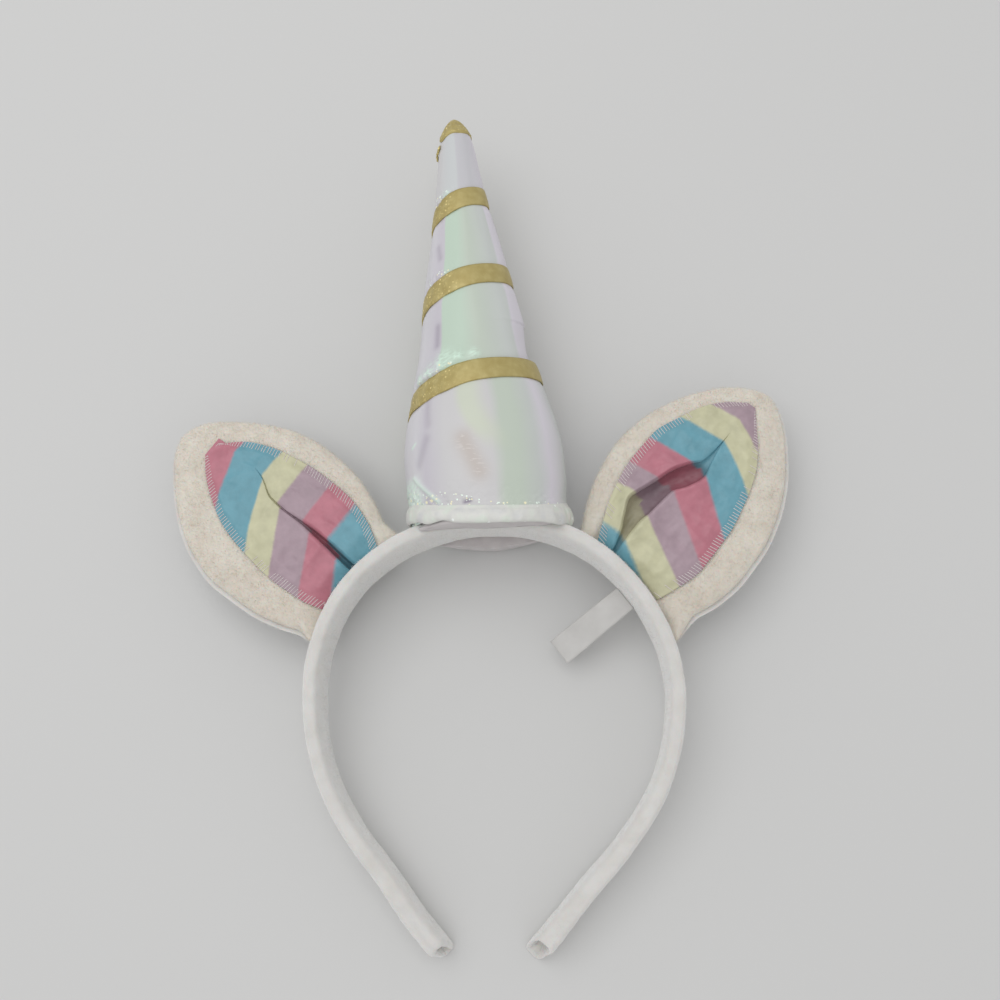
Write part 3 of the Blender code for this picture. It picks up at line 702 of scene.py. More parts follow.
def filmMaterial():
    material, tree, shader = newMaterial("pearl film", filmColours["grey"], filmLook["roughness"],
                                         specular=filmLook["specular"])
    # wide soft bands of colour round the horn, which drift a little up its length: painted reflection standing
    # in for the film's iridescence, with violet on the right side made paler as painted light where less lamp
    # light falls
    drift = addMath(tree, "ADD", wobble(tree, 26.0, 0.030, (1, 0.5, 1)),
                    wobble(tree, 5.0, 0.012, (1, 0.3, 1)))
    place = addMath(tree, "ADD", readTag(tree, "turn"), drift)
    bands = [addRamp(tree, place, [(spot, filmColours[name]) for spot, name in filmLook[key]])
             for key in ("bodyStops", "footStops", "tipStops")]
    colour = addMix(tree, readTag(tree, "foot"), bands[0], bands[1])
    colour = addMix(tree, readTag(tree, "tip"), colour, bands[2])
    colour = addMix(tree, readTag(tree, "ray"), colour, filmColours["lemon"])
    # the worn place is dull and beige, with short scratches across the horn
    worn = readTag(tree, "worn")
    colour = addMix(tree, addMath(tree, "MULTIPLY", worn, 0.85), colour, filmLook["wornTone"])
    lines = addNoise(tree, 1.0, 3.0, 0.3, (0.35, 1.5, 0.6))
    scratch = addMath(tree, "GREATER_THAN", lines, 0.60)
    scratch = addMath(tree, "MULTIPLY", scratch, addMath(tree, "MULTIPLY", worn, 0.4))
    colour = addMix(tree, scratch, colour, filmLook["scratch"])
    # painted shade in the dents
    colour = addMix(tree, readTag(tree, "paintedDentShade"), colour, filmLook["dent"])
    # painted highlights on the puffs, folds and crushed corner
    colour = addMix(tree, readTag(tree, "paintedHighlight"), colour, filmLook["puff"])
    # painted glints: bright specks in the colour where the film is crumpled
    crumple = readTag(tree, "crumple")
    for size, share, reach in filmLook["sparkles"]:
        speck, number = addSpecks(tree, size, share, reach)
        tone = addRamp(tree, number, ((0.55, filmLook["glint"]), (0.75, filmLook["warmGlint"])))
        crumpled = addMath(tree, "GREATER_THAN", crumple, filmLook["sparklesFrom"])
        shown = addMath(tree, "MULTIPLY", speck, crumpled)
        colour = addMix(tree, shown, colour, tone)
    tree.links.new(colour, shader.inputs["Base Color"])
    weave = addNoise(tree, 0.5, 2.0)
    rumple = addNoise(tree, 2.2, 4.0, 0.6)
    first = addBump(tree, shader, addMath(tree, "MULTIPLY", rumple, crumple), 0.7)
    addBump(tree, shader, weave, 0.015, first)
    return material


def makeRibbon(material):
    first, last = ribbon["climb"][0][0], ribbon["climb"][-1][0]
    steps = int((last - first) * ribbon["stepsPerTurn"])
    turns = np.linspace(first, last, steps)
    middle = curveThrough(ribbon["climb"], turns)
    part = (turns + 0.5) % 1.0 - 0.5
    width = ribbon["width"] + ribbon["widen"] * hump(part, ribbon["widenTurn"], ribbon["widenReach"])
    whole = fadeIn(last - turns, 0.06, ribbon["endTurns"])
    width = width * (ribbon["endShare"] + (1 - ribbon["endShare"]) * whole)
    share = np.linspace(-0.5, 0.5, ribbon["columns"])
    turnGrid = np.broadcast_to(turns[:, None], (steps, len(share)))
    left = fadeIn(0.5 - 0.5 * np.sin(2 * math.pi * turnGrid), 0.45, 0.95)
    # its edges run a little unevenly where it is crinkled
    whichEdge = np.broadcast_to(np.sign(share) * 4, turnGrid.shape)
    edge = lumps(np.stack([turnGrid * 60, whichEdge, np.zeros_like(turnGrid)], -1), 2.4, 20)
    distance = middle[:, None] + width[:, None] * share[None, :] + edge * share[None, :] * left * 0.9
    base = hornRadius(middle, turns)[:, None] + (curveThrough(horn["profile"], distance)
                                                 - curveThrough(horn["profile"], middle)[:, None])
    seat = np.stack([turnGrid * 95, distance * 0.8, np.zeros_like(distance)], -1)
    crinkle = creases(seat, 2.6, 21) * 0.24 + lumps(seat, 1.0, 22) * 0.10
    bow = 0.22 * (1 - (2 * share) ** 2)[None, :]
    lift = ribbon["gap"] + bow + crinkle * (0.05 + 0.95 * left)
    upper = hornPoint(distance, turnGrid, base + lift + ribbon["thickness"])
    lower = hornPoint(distance, turnGrid, base + lift * 0.6)
    piece = makePiece("gold_ribbon", np.concatenate([upper, lower[:, ::-1]], 1),
                      slabFaces(steps, len(share)), material)
    tagPoints(piece, "crinkle", np.concatenate([left, left[:, ::-1]], 1))
    return piece


goldLook = {"deep": (0.430, 0.345, 0.125), "middle": (0.470, 0.385, 0.150), "pale": (0.540, 0.455, 0.195),
            "paintedHighlight": (0.72, 0.60, 0.25), "spark": (0.95, 0.80, 0.36), "metallic": 0.30, "roughness": 0.46}


def goldMaterial(name, folds):
    material, tree, shader = newMaterial(name, goldLook["middle"], goldLook["roughness"],
                                         metallic=goldLook["metallic"])
    tone = addNoise(tree, 3.2, 4.0)
    stops = ((0.32, goldLook["deep"]), (0.50, goldLook["middle"]), (0.72, goldLook["pale"]))
    colour = addRamp(tree, tone, stops)
    # painted highlights: bright orange-yellow flecks and glinting specks on the crinkled side; fine threads all
    # over
    crinkled = readTag(tree, "crinkle")
    flecks = addNoise(tree, 1.3, 3.0, 1.2)
    highlightFleck = addMath(tree, "MULTIPLY", addMath(tree, "GREATER_THAN", flecks, 0.60), crinkled)
    colour = addMix(tree, addMath(tree, "MULTIPLY", highlightFleck, 0.6), colour, goldLook["paintedHighlight"])
    speck = addSpecks(tree, 1.2, 0.20, 0.30)[0]
    colour = addMix(tree, addMath(tree, "MULTIPLY", speck, crinkled), colour, goldLook["spark"])
    tree.links.new(colour, shader.inputs["Base Color"])
    threads = addNoise(tree, 0.28, 1.0)
    rumple = addNoise(tree, 1.6, 3.0, 0.8)
    first = addBump(tree, shader, addMath(tree, "MULTIPLY", rumple, crinkled), folds)
    addBump(tree, shader, threads, 0.03, first)
    return material


def makeTipWrap(material):
    rows = np.linspace(0, 1, tipWrap["rings"])[:, None]
    profile = tipWrap["profile"]
    distance, turns = np.broadcast_arrays(profile[0][0] + (profile[-1][0] - profile[0][0]) * rows,
                                          (np.arange(tipWrap["sides"]) / tipWrap["sides"] - 0.5)[None, :])
    radius = curveThrough(profile, distance)
    folds = creases(aroundHorn(distance, turns, 4.0, 0.7), 1.7, 31)
    radius = radius + tipWrap["crinkle"] * (folds - 0.5) * fadeIn(radius, 0.2, 2.0)
    # its lower edge is cut unevenly, and curls out where it reaches lowest, on the left
    curl = hump(turns, -0.14, 0.075)
    dip = tipWrap["curl"] * curl + 0.30 * np.sin(10 * math.pi * turns)
    radius = radius + 0.55 * curl * (1 - rows) ** 3
    points = hornPoint(distance - dip * (1 - rows) ** 2, turns, radius)
    piece = makePiece("gold_tip_wrap", points, tubeFaces(*radius.shape), material)
    tagPoints(piece, "crinkle", 0.35 + 0.65 * fadeIn(-turns, -0.05, 0.12))
    return piece


# Base of the horn: a pad with lips over the band, and a rolled hem round it

hem = {"sides": 300, "steps": 30, "fill": 0.75, "wave": 1.21,
       # one loop of the hem's wall: share of the way from its upper edge to its lower edge, and radius
       "loop": ((0.10, 27.1), (0.22, 27.75), (0.42, 28.2), (0.66, 28.4), (0.88, 28.2), (1.0, 27.7),
                (1.03, 27.2), (0.98, 26.75), (0.80, 26.55), (0.45, 26.45), (0.05, 26.2), (-0.12, 26.3),
                (-0.08, 26.75))}
basePad = {"sides": 200, "lipStart": -5.9, "roomTurn": 48, "roomClear": 0.45, "roomDepth": 18.0,
           "front": ((0.9, 10.0), (0.9, 22.0), (0.3, 24.0), (-3.7, 24.3), (-4.9, 24.9), (-5.6, 25.8)),
           "lip": ((0.30, 26.0), (0.70, 25.4), (0.94, 23.2), (1.0, 20.5), (1.0, 15.0), (1.0, 9.0))}


def hemEdges(turns):
    # the hem's upper and lower edge: seen from above they run aslant, and below they follow the base
    side = np.sin(2 * math.pi * turns) * foot["radius"]
    height = np.cos(2 * math.pi * turns) * foot["radius"]
    seen = fadeIn(height, -15, 0)
    edges = [start + perSide * side + perHeight * (height - foot["height"])
             for start, perSide, perHeight in (foot["top"], foot["low"])]
    lips = curveThrough(foot["lips"], turns)
    under = foot["underTop"], foot["underLow"] - lips
    return [edge * seen + low * (1 - seen) for edge, low in zip(edges, under)]


def makeBase(material):
    turns = np.arange(basePad["sides"]) / basePad["sides"] - 0.5
    lips = curveThrough(foot["lips"], turns)
    rings = [hornPoint(distance, turns, radius) for distance, radius in basePad["front"]]
    for share, radius in basePad["lip"]:
        rings.append(hornPoint(basePad["lipStart"] + (-lips - basePad["lipStart"]) * share, turns, radius))
    points = aboveTable(np.array(rings))
    pad = makePiece("base_pad", points, tubeFaces(*points.shape[:2]), material)
    cutRoom(pad)
    return pad


def cutRoom(pad):
    # the band's own room is cut out of the pad
    angles = np.linspace(-basePad["roomTurn"], basePad["roomTurn"], 49)
    here, outward, forward, thickness, depth, lower = bandStation(angles)
    outer = here + outward * (thickness[:, None] / 2 + basePad["roomClear"])
    inner = here - outward * basePad["roomDepth"]
    floor, roof = lower - basePad["roomClear"], lower + depth + basePad["roomClear"]
    rings = []
    for place, height in ((outer, floor), (outer, roof), (inner, roof), (inner, floor)):
        ring = place.copy()
        ring[:, 2] = height
        rings.append(ring)
    cutter = makePiece("room", np.stack(rings, 1), tubeFaces(len(angles), 4), pad.data.materials[0],
                       smooth=False)
    cut = pad.modifiers.new("room", "BOOLEAN")
    cut.operation = "DIFFERENCE"
    cut.solver = "EXACT"
    cut.object = cutter
    bpy.context.view_layer.update()
    done = bpy.data.meshes.new_from_object(pad.evaluated_get(bpy.context.evaluated_depsgraph_get()))
    pad.modifiers.clear()
    pad.data = done
    bpy.data.objects.remove(cutter, do_unlink=True)


def makeHem(material):
    turns = (np.arange(hem["sides"]) / hem["sides"] - 0.5)[None, :]
    loop = np.array([*hem["loop"], hem["loop"][0]])
    spread = np.linspace(0, len(loop) - 1, hem["steps"], endpoint=False)
    share = np.interp(spread, np.arange(len(loop)), loop[:, 0])[:, None]
    radius = np.interp(spread, np.arange(len(loop)), loop[:, 1])[:, None]
    top, low = hemEdges(turns)
    low = low + hem["wave"] * lumps(aroundHorn(0.0, turns, foot["radius"]), 8.0, 41)
    distance = top + (low - top) * share
    radius = np.broadcast_to(radius, distance.shape)
    seat = aroundHorn(distance, turns, radius, 0.4)
    outside = fadeIn(radius, 26.6, 27.6)
    radius = radius + outside * ((creases(seat, 4.2, 42) - 0.6) * 0.34 + 0.14 * lumps(seat, 1.6, 43))
    radius += 0.35 * lumps(aroundHorn(0.0, turns, foot["radius"]), 6.0, 44) * fadeIn(share, 0.4, 0.9)
    points = aboveTable(hornPoint(distance, turns, radius))
    # the rings run round the hem, and the last one joins the first again
    last = hem["steps"] * hem["sides"]
    faces = [[k % last for k in face] for face in gridFaces(hem["steps"] + 1, hem["sides"], closed=True)]
    return makePiece("horn_hem", points, faces, material)


hemLook = {"cool": (0.660, 0.665, 0.660), "pearl": (0.730, 0.730, 0.695), "mint": (0.700, 0.750, 0.680),
           "warm": (0.720, 0.700, 0.655), "roughness": 0.5, "specular": 0.45, "glint": (0.92, 0.95, 0.93)}


def hemMaterial():
    material, tree, shader = newMaterial("pearly hem", hemLook["pearl"], hemLook["roughness"],
                                         specular=hemLook["specular"])
    tone = addNoise(tree, 6.0, 3.0)
    stops = ((0.30, hemLook["cool"]), (0.48, hemLook["pearl"]),
             (0.60, hemLook["mint"]), (0.74, hemLook["warm"]))
    colour = addRamp(tree, tone, stops)
    # painted glints: pale specks in the colour
    speck = addSpecks(tree, 1.9, 0.10, 0.26)[0]
    tree.links.new(addMix(tree, speck, colour, hemLook["glint"]), shader.inputs["Base Color"])
    folds = addNoise(tree, 2.0, 4.0, 0.7)
    addBump(tree, shader, folds, 0.25)
    return material


film = filmMaterial()
hornPiece = makeHorn(film)
settle(hornPiece, "pearl_film", "horn")
settle(makeRibbon(goldMaterial("gold ribbon", 0.22)), "gold_ribbon", "horn_ribbon")
settle(makeTipWrap(goldMaterial("gold wrap", 0.35)), "gold_wrap", "horn_tip_cap")
print("horn is wound")

# the pad's fleece is darker and greyer than the band's: painted shade, for its place in the shadow under the
# hem
padFleece = clothMaterial("padded base", (0.560, 0.520, 0.525), (0.640, 0.605, 0.605), 0.8, 5.0, 0.5, 0.10,
                          sheen=0.2)
basePiece = makeBase(padFleece)
settle(basePiece, "base_fleece", "horn_base")
hemPiece = makeHem(hemMaterial())
settle(hemPiece, "base_fleece", "horn_base")
print("base of the horn is hemmed")


# Ears: plush front and back, a striped satin patch sewn on the front

ears = {"left": {"foot": (-52.5, 49.5), "heading": 146.8, "flip": 1.0,
                 "outline": ((0, -23.2, 22.6), (10, -26.8, 28.0), (22, -28.8, 32.0), (36, -29.0, 33.2),
                             (48, -26.2, 31.6), (58, -21.4, 27.8), (67, -14.4, 22.8), (74, -7.2, 17.8),
                             (78.6, -1.4, 12.8), (80.8, 4.2, 7.6)),
                 "pleat": ((2, 5.0), (20, 6.5), (37.5, 7.2), (46.5, 11.8)),
                 "patch": ((3.0, -12.4, 15.4), (11, -14.2, 20.6), (22, -14.6, 24.0), (33, -13.3, 24.6),
                           (46, -10.2, 23.2), (57, -4.2, 19.8), (63.5, 1.2, 15.0), (67.8, 6.2, 9.4)),
                 # the fold: place along the ear, its lower and upper lip across the ear, and its depth
                 "fold": ((2.0, 3.9, 6.1, 4.2), (8.5, 4.7, 6.8, 4.2), (14, 5.4, 7.4, 3.8),
                          (20, 6.1, 7.6, 3.0), (25, 6.5, 7.5, 2.0), (31, 6.5, 7.2, 1.4),
                          (38, 7.2, 7.8, 1.2), (46, 11.4, 11.8, 0.5), (50, 12.6, 12.9, 0.0)),
                 "overlap": 0.5,
                 # stripes from the foot: colour, and where each starts on the upper and on the lower half
                 "stripes": (("blue", -20, -20), ("pink", 13.3, 7.4), ("lilac", 24.2, 20.2),
                             ("yellow", 35.6, 33.8), ("blue", 46.0, 45.0), ("pink", 59.5, 59.3)),
                 "upperTilt": 0.0, "lowerTilt": 0.56, "tipTilt": 0.32, "tiltFrom": 36.0},
        "right": {"foot": (44.5, 56.5), "heading": 53.5, "flip": -1.0,
                  "outline": ((0, -25.6, 21.6), (10, -29.8, 26.8), (22, -31.8, 30.6), (34, -31.4, 32.2),
                              (46, -28.8, 30.6), (58, -23.6, 26.0), (68, -16.6, 19.8), (75, -10.2, 13.4),
                              (79.2, -4.6, 6.6), (80.8, -0.8, 2.0)),
                  "pleat": ((6, 10.2), (20, 11.4), (30, 9.6), (40, 5.0), (48, 3.2), (56, 3.3)),
                  "patch": ((3.5, -12.4, 15.4), (9, -14.8, 17.9), (20, -17.8, 22.0), (33, -17.6, 24.2),
                            (44, -15.6, 24.0), (54, -12.4, 20.4), (62, -7.4, 16.6), (68.5, -1.6, 11.0),
                            (72.8, 2.0, 5.0)),
                  "fold": ((3.0, 8.2, 9.6, 2.0), (9, 8.6, 11.3, 3.2), (14, 8.7, 13.7, 4.2),
                           (20, 7.7, 16.0, 5.0), (24, 7.3, 14.8, 5.2), (30, 6.6, 12.8, 5.2),
                           (36, 2.9, 10.9, 5.2), (42, 1.0, 7.6, 4.0), (46, 1.8, 4.6, 1.8),
                           (55, 3.1, 3.6, 0.7), (60, 3.2, 3.5, 0.0)),
                  "overlap": 1.4,
                  "stripes": (("blue", -20, -20), ("yellow", 8.4, 7.9), ("lilac", 23.0, 20.8),
                              ("pink", 31.6, 33.0), ("blue", 43.4, 44.0), ("yellow", 55.8, 56.0),
                              ("lilac", 65.6, 65.4)),
                  "upperTilt": 0.11, "lowerTilt": 0.58, "tipTilt": 0.45, "tiltFrom": 44.0}}
earBody = {"length": 80.8, "centre": 36.0, "height": 20.5, "droop": 0.03, "frontPuff": 4.2, "backPuff": 4.6,
           "seamGap": 0.15, "pleatDepth": 4.2, "pleatWidth": 5.2, "frontRings": 44, "backRings": 26,
           "rimPoints": 240, "backShows": 1.7, "frontPile": 24000, "backPile": 9000, "pileLength": 0.85,
           "pileWidth": 0.06, "pileLean": 0.8, "nap": ((0.34, 7.0, 51), (0.20, 2.8, 52), (0.07, 1.3, 53)),
           # the pleat: where it starts and over what length, how far past its last row it ends and over
           # what length
           "pleatFrom": -6, "pleatRise": 8, "pleatPast": 8, "pleatFade": 26, "seamShare": 0.8,
           "rootRange": (-12.0, 16.0), "halvings": 24}


def earPlace(ear, forth, across, height):
    turn = math.radians(ear["heading"])
    ahead = np.array([math.cos(turn), math.sin(turn)])
    side = np.array([math.sin(turn), -math.cos(turn)]) * ear["flip"]
    forth, across, height = np.broadcast_arrays(forth, across, height)
    flat = np.array(ear["foot"]) + forth[..., None] * ahead + across[..., None] * side
    return np.concatenate([flat, height[..., None]], -1)


def pleatDip(ear, forth, across):
    rows = ear["pleat"]
    off = (across - curveThrough(rows, forth)) / earBody["pleatWidth"]
    start = np.clip((forth - earBody["pleatFrom"]) / earBody["pleatRise"], 0, 1)
    fade = np.clip((rows[-1][0] + earBody["pleatPast"] - forth) / earBody["pleatFade"], 0, 1)
    return earBody["pleatDepth"] * np.exp(-off * off) * start * fade


def seamHeight(ear, forth, across):
    dip = earBody["seamShare"] * pleatDip(ear, forth, across)
    return earBody["height"] - earBody["droop"] * forth - dip


def earRoot(ear, across, gap):
    # where the ear meets the band's outer face, found by halving
    across = np.asarray(across, float)
    low, high = (np.full(across.shape, end) for end in earBody["rootRange"])
    for _ in range(earBody["halvings"]):
        middle = (low + high) / 2
        spot = earPlace(ear, middle, across, 0.0)
        angle = np.degrees(np.arctan2(spot[..., 0], spot[..., 1]))
        here, outward, forward, thickness = bandStation(angle)[:4]
        inside = np.sum((spot - here) * outward, -1) < thickness / 2 + gap
        low, high = np.where(inside, middle, low), np.where(inside, high, middle)
    return high


def earRim(ear, inset=0.0):
    # the ear's outline, at even steps: up its upper edge, round the tip, down its lower edge, along the band
    rows = ear["outline"]
    forth = np.concatenate([np.linspace(2.0, 60, 30), np.linspace(61, earBody["length"] - 0.3, 30)])
    low, high = columnAt(rows, 1, forth), columnAt(rows, 2, forth)
    base = np.linspace(rows[0][1] - 0.6, rows[0][2] + 0.6, 20)
    root = earRoot(ear, base, 0.35)
    line = np.array([*zip(forth, high), (earBody["length"], (rows[-1][1] + rows[-1][2]) / 2),
                     *zip(forth[::-1], low[::-1] + inset), *zip(root, base)])
    loop = np.concatenate([line, line[:1]])
    travelled = lengthsAlong(loop)
    even = np.linspace(0, travelled[-1], earBody["rimPoints"], endpoint=False)
    rim = np.stack([np.interp(even, travelled, loop[:, 0]), np.interp(even, travelled, loop[:, 1])], 1)
    for _ in range(3):
        rim = (np.roll(rim, 1, 0) + rim * 2 + np.roll(rim, -1, 0)) / 4
    return rim


def puffOf(size, full):
    return full * (0.16 + 0.84 * np.sqrt(np.clip(1 - size ** 6, 0, 1)))


def earTop(ear, forth, across, size):
    thick = puffOf(size, earBody["frontPuff"])
    thick = thick - np.minimum(0.5 * pleatDip(ear, forth, across), 0.6 * thick)
    return seamHeight(ear, forth, across) + earBody["seamGap"] + thick


def makeEarLayer(name, ear, front, material):
    rim = earRim(ear, earBody["backShows"] if front else 0.0)
    rings = earBody["frontRings"] if front else earBody["backRings"]
    sizes = np.sin(np.linspace(math.pi / 2, 0.01, rings))
    centre = np.array([earBody["centre"], 0.0])
    spots = centre + (rim[None, :, :] - centre) * sizes[:, None, None]
    forth, across = spots[..., 0], spots[..., 1]
    size = np.broadcast_to(sizes[:, None], forth.shape)
    seam = seamHeight(ear, forth, across)
    if front:
        outer, inner, way = earTop(ear, forth, across, size), seam + earBody["seamGap"], 1
    else:
        outer = seam - earBody["seamGap"] - puffOf(size, earBody["backPuff"])
        inner, way = seam - earBody["seamGap"], -1
    outside = earPlace(ear, forth, across, outer)
    outside[..., 2] += way * layered(outside, earBody["nap"]) * fadeIn(1 - size, 0.0, 0.06)
    inside = earPlace(ear, forth, across, inner)
    rings = np.concatenate([inside[::-1], outside])
    return makePiece(name, rings, tubeFaces(*rings.shape[:2]), material)


patchCloth = {"rows": 150, "upper": 30, "foldColumns": 64, "lower": 42, "foldReach": 7.0, "thickness": 0.30,
              "clear": 0.30, "puff": 0.36, "raise": 0.55, "floorShade": 0.55, "rootGap": 1.2,
              # gentle folds over the whole patch: stretch along and across, size, seed and strength
              "folds": ((1.0, 0.55, 9.0, 61, 0.62), (0.6, 1.0, 5.0, 62, 0.36), (1.0, 1.0, 2.6, 63, 0.13)),
              "foldShare": 0.9, "puckers": 0.15}


def foldShape(ear, reach, share):
    # the folded cloth between its flat halves: for each row its places across the ear, its height, which
    # side of the fold it lies on, and the fold's middle
    rows = ear["fold"]
    # the fold is looked up at its true place, counted from where it meets the band
    root = float(earRoot(ear, (rows[0][1] + rows[0][2]) / 2, patchCloth["rootGap"]))
    place = root + share * (ear["patch"][-1][0] - root)
    low, high, depth = (columnAt(rows, k, place) for k in (1, 2, 3))
    wide, lap = high - low, ear["overlap"] * fadeIn(depth, 0.3, 2.5)
    bottom, top = (columnAt(ear["patch"], k, reach) for k in (1, 2))
    top = np.minimum(high + patchCloth["foldReach"], high + (top - high) * 0.8)
    bottom = np.maximum(low - patchCloth["foldReach"], low - (low - bottom) * 0.8)
    middle = (low + high) / 2
    swell = 0.20 * fadeIn(depth, 0.3, 2.5)
    # from the upper half down through the fold to the lower half: share of the way, place and height
    table = ((0.00, top, 0.0), (0.14, top * 0.55 + high * 0.45, 0.10), (0.27, high + 0.9, swell),
             (0.36, high, -0.12), (0.44, high + 0.25 * lap, -0.62), (0.52, high - 0.25 * wide, -1.0),
             (0.60, middle, -1.05), (0.68, low + 0.12 * wide - 0.4 * lap, -0.85),
             (0.75, low + 0.15 - 0.25 * lap, -0.35), (0.81, low, 0.02), (0.87, low - 0.9, swell * 1.3),
             (0.94, bottom * 0.5 + low * 0.5, 0.12), (1.00, bottom, 0.0))
    t = np.linspace(0, 1, patchCloth["foldColumns"])
    marks = np.array([row[0] for row in table])
    k = np.clip(np.searchsorted(marks, t, side="right") - 1, 0, len(marks) - 2)
    ease = (t - marks[k]) / (marks[k + 1] - marks[k])
    ease = ease * ease * (3 - 2 * ease) * 0.5 + ease * 0.5
    smoothed = []
    for column in (1, 2):
        values = np.stack([np.broadcast_to(row[column], reach.shape) for row in table], 1)
        values = values[:, k] + (values[:, k + 1] - values[:, k]) * ease
        for _ in range(2):
            values[:, 1:-1] = (values[:, :-2] + values[:, 1:-1] * 2 + values[:, 2:]) / 4
        smoothed.append(values)
    across, rise = smoothed
    side = np.where(t < 0.56, 1, -1)
    return across, rise * depth[:, None], np.broadcast_to(side, across.shape), middle


def patchGrid(ear):
    # places along and across the ear for each row and column of the satin, and its height over the plush
    rows = ear["patch"]
    share = np.sin(0.5 * math.pi * np.linspace(0, 1, patchCloth["rows"]))
    reach = rows[0][0] + (rows[-1][0] - rows[0][0]) * share
    low, high = columnAt(rows, 1, reach), columnAt(rows, 2, reach)
    folded, rise, foldSide, middle = foldShape(ear, reach, share)
    upper = np.linspace(1, 0, patchCloth["upper"], endpoint=False)[None, :]
    lower = np.linspace(0, 1, patchCloth["lower"] + 1)[None, 1:]
    above = folded[:, :1] + (high[:, None] - folded[:, :1]) * upper
    below = folded[:, -1:] + (low[:, None] - folded[:, -1:]) * lower
    across = np.concatenate([above, folded, below], 1)
    height = np.concatenate([np.zeros_like(above), rise, np.zeros_like(below)], 1)
    side = np.concatenate([np.ones_like(above), foldSide, -np.ones_like(below)], 1)
    root = earRoot(ear, across[0], patchCloth["rootGap"])[None, :]
    forth = root + share[:, None] * (rows[-1][0] - root)
    return forth, across, height, side, low, high, middle


def stripePlace(ear, forth, across, side, middle):
    # which stripe a place lies in, as a number that grows by one at each boundary
    off = across - middle[:, None]
    tilt = ear["lowerTilt"] + (ear["tipTilt"] - ear["lowerTilt"]) * fadeIn(forth, ear["tiltFrom"], 58)
    run = np.where(side > 0, forth + ear["upperTilt"] * np.maximum(off, 0), forth - tilt * np.minimum(off, 0))
    marks = ear["stripes"]
    index = np.arange(len(marks) + 1)
    upper = [m[1] for m in marks] + [marks[-1][1] + 12.0]
    lower = [m[2] for m in marks] + [marks[-1][2] + 12.0]
    return np.where(side > 0, np.interp(run, upper, index), np.interp(run, lower, index))


def makePatch(name, ear, material):
    forth, across, height, side, low, high, middle = patchGrid(ear)
    outline = earRim(ear)
    # how near the ear's rim each place is, for the plush's height there
    centre = np.array([earBody["centre"], 0.0])
    rimAngle = np.arctan2(outline[:, 1] - centre[1], outline[:, 0] - centre[0])
    rimReach = np.hypot(outline[:, 0] - centre[0], outline[:, 1] - centre[1])
    order = np.argsort(rimAngle)
    angle = np.arctan2(across - centre[1], forth - centre[0])
    rimThere = np.interp(angle, rimAngle[order], rimReach[order], period=2 * math.pi)
    size = np.clip(np.hypot(forth - centre[0], across - centre[1]) / rimThere, 0, 1)
    base = seamHeight(ear, forth, across) + earBody["seamShare"] * pleatDip(ear, forth, across)
    base = base + earBody["seamGap"] + puffOf(size, earBody["frontPuff"])
    plush = earTop(ear, forth, across, size)
    seat = np.stack([forth, across, np.zeros_like(forth)], -1)
    edge = np.minimum(fadeIn(across - low[:, None], 0.2, 4.5), fadeIn(high[:, None] - across, 0.2, 4.5))
    edge = np.minimum(edge, fadeIn(forth, 1.0, 6.0)) * fadeIn(ear["patch"][-1][0] - forth, 0.3, 6.0)
    folds = sum(creases(seat * np.array([along, wide, 1]), size, seed) * strength
                for along, wide, size, seed, strength in patchCloth["folds"])
    puckers = creases(seat, 2.0, 64) * patchCloth["puckers"] * (1 - edge)
    top = base + patchCloth["clear"] + patchCloth["raise"]
    top = top + edge * (patchCloth["puff"] + folds * patchCloth["foldShare"]) + puckers + height
    top = np.maximum(top, plush + patchCloth["clear"])
    points = np.concatenate([earPlace(ear, forth, across, top),
                             earPlace(ear, forth, across, top - patchCloth["thickness"])[:, ::-1]], 1)
    piece = makePiece(name, points, slabFaces(*forth.shape), material)
    stripe = stripePlace(ear, forth, across, side, middle)
    # painted shade: darker towards the bottom of the fold, read by the satin's material
    shade = fadeIn(-height, 0.5, 4.0) * patchCloth["floorShade"]
    for tag, values in (("stripe", stripe), ("shade", shade)):
        tagPoints(piece, tag, np.concatenate([values, values[:, ::-1]], 1))
    return piece, (forth, across, top, stripe)


satinColours = {"pink": (0.500, 0.182, 0.232), "lilac": (0.400, 0.295, 0.340), "blue": (0.140, 0.350, 0.430),
                "yellow": (0.575, 0.562, 0.375)}
satinLook = {"roughness": 0.40, "specular": 0.50, "sheen": 0.12, "sheenRoughness": 0.4, "soft": 0.006,
             "paintedFoldShade": (0.30, 0.24, 0.25)}


def satinMaterial(name, ear):
    names = [mark[0] for mark in ear["stripes"]]
    material, tree, shader = newMaterial(name, satinColours["pink"], satinLook["roughness"],
                                         sheen=satinLook["sheen"], sheenRoughness=satinLook["sheenRoughness"],
                                         specular=satinLook["specular"])
    place = addMath(tree, "ADD", readTag(tree, "stripe"), wobble(tree, 1.0, 0.05))
    place = addMath(tree, "DIVIDE", place, float(len(names)))
    stops = []
    for k, colour in enumerate(names):
        stops.append((k / len(names) + (satinLook["soft"] if k else 0), satinColours[colour]))
        stops.append(((k + 1) / len(names) - satinLook["soft"], satinColours[colour]))
    colour = addRamp(tree, place, stops)
    cloud = addNoise(tree, 4.0, 3.0)
    shade = addRamp(tree, cloud, ((0.3, (0.90, 0.90, 0.90)), (0.7, (1.07, 1.07, 1.07))))
    colour = addMix(tree, 1.0, colour, shade, "MULTIPLY")
    # painted shade: the satin is darkened down in its fold
    shaded = addMix(tree, 1.0, colour, satinLook["paintedFoldShade"], "MULTIPLY")
    colour = addMix(tree, readTag(tree, "shade"), colour, shaded)
    tree.links.new(colour, shader.inputs["Base Color"])
    weave = addNoise(tree, 0.22, 1.0)
    crumple = addNoise(tree, 2.2, 3.0, 0.8)
    first = addBump(tree, shader, crumple, 0.14)
    addBump(tree, shader, weave, 0.02, first)
    return material


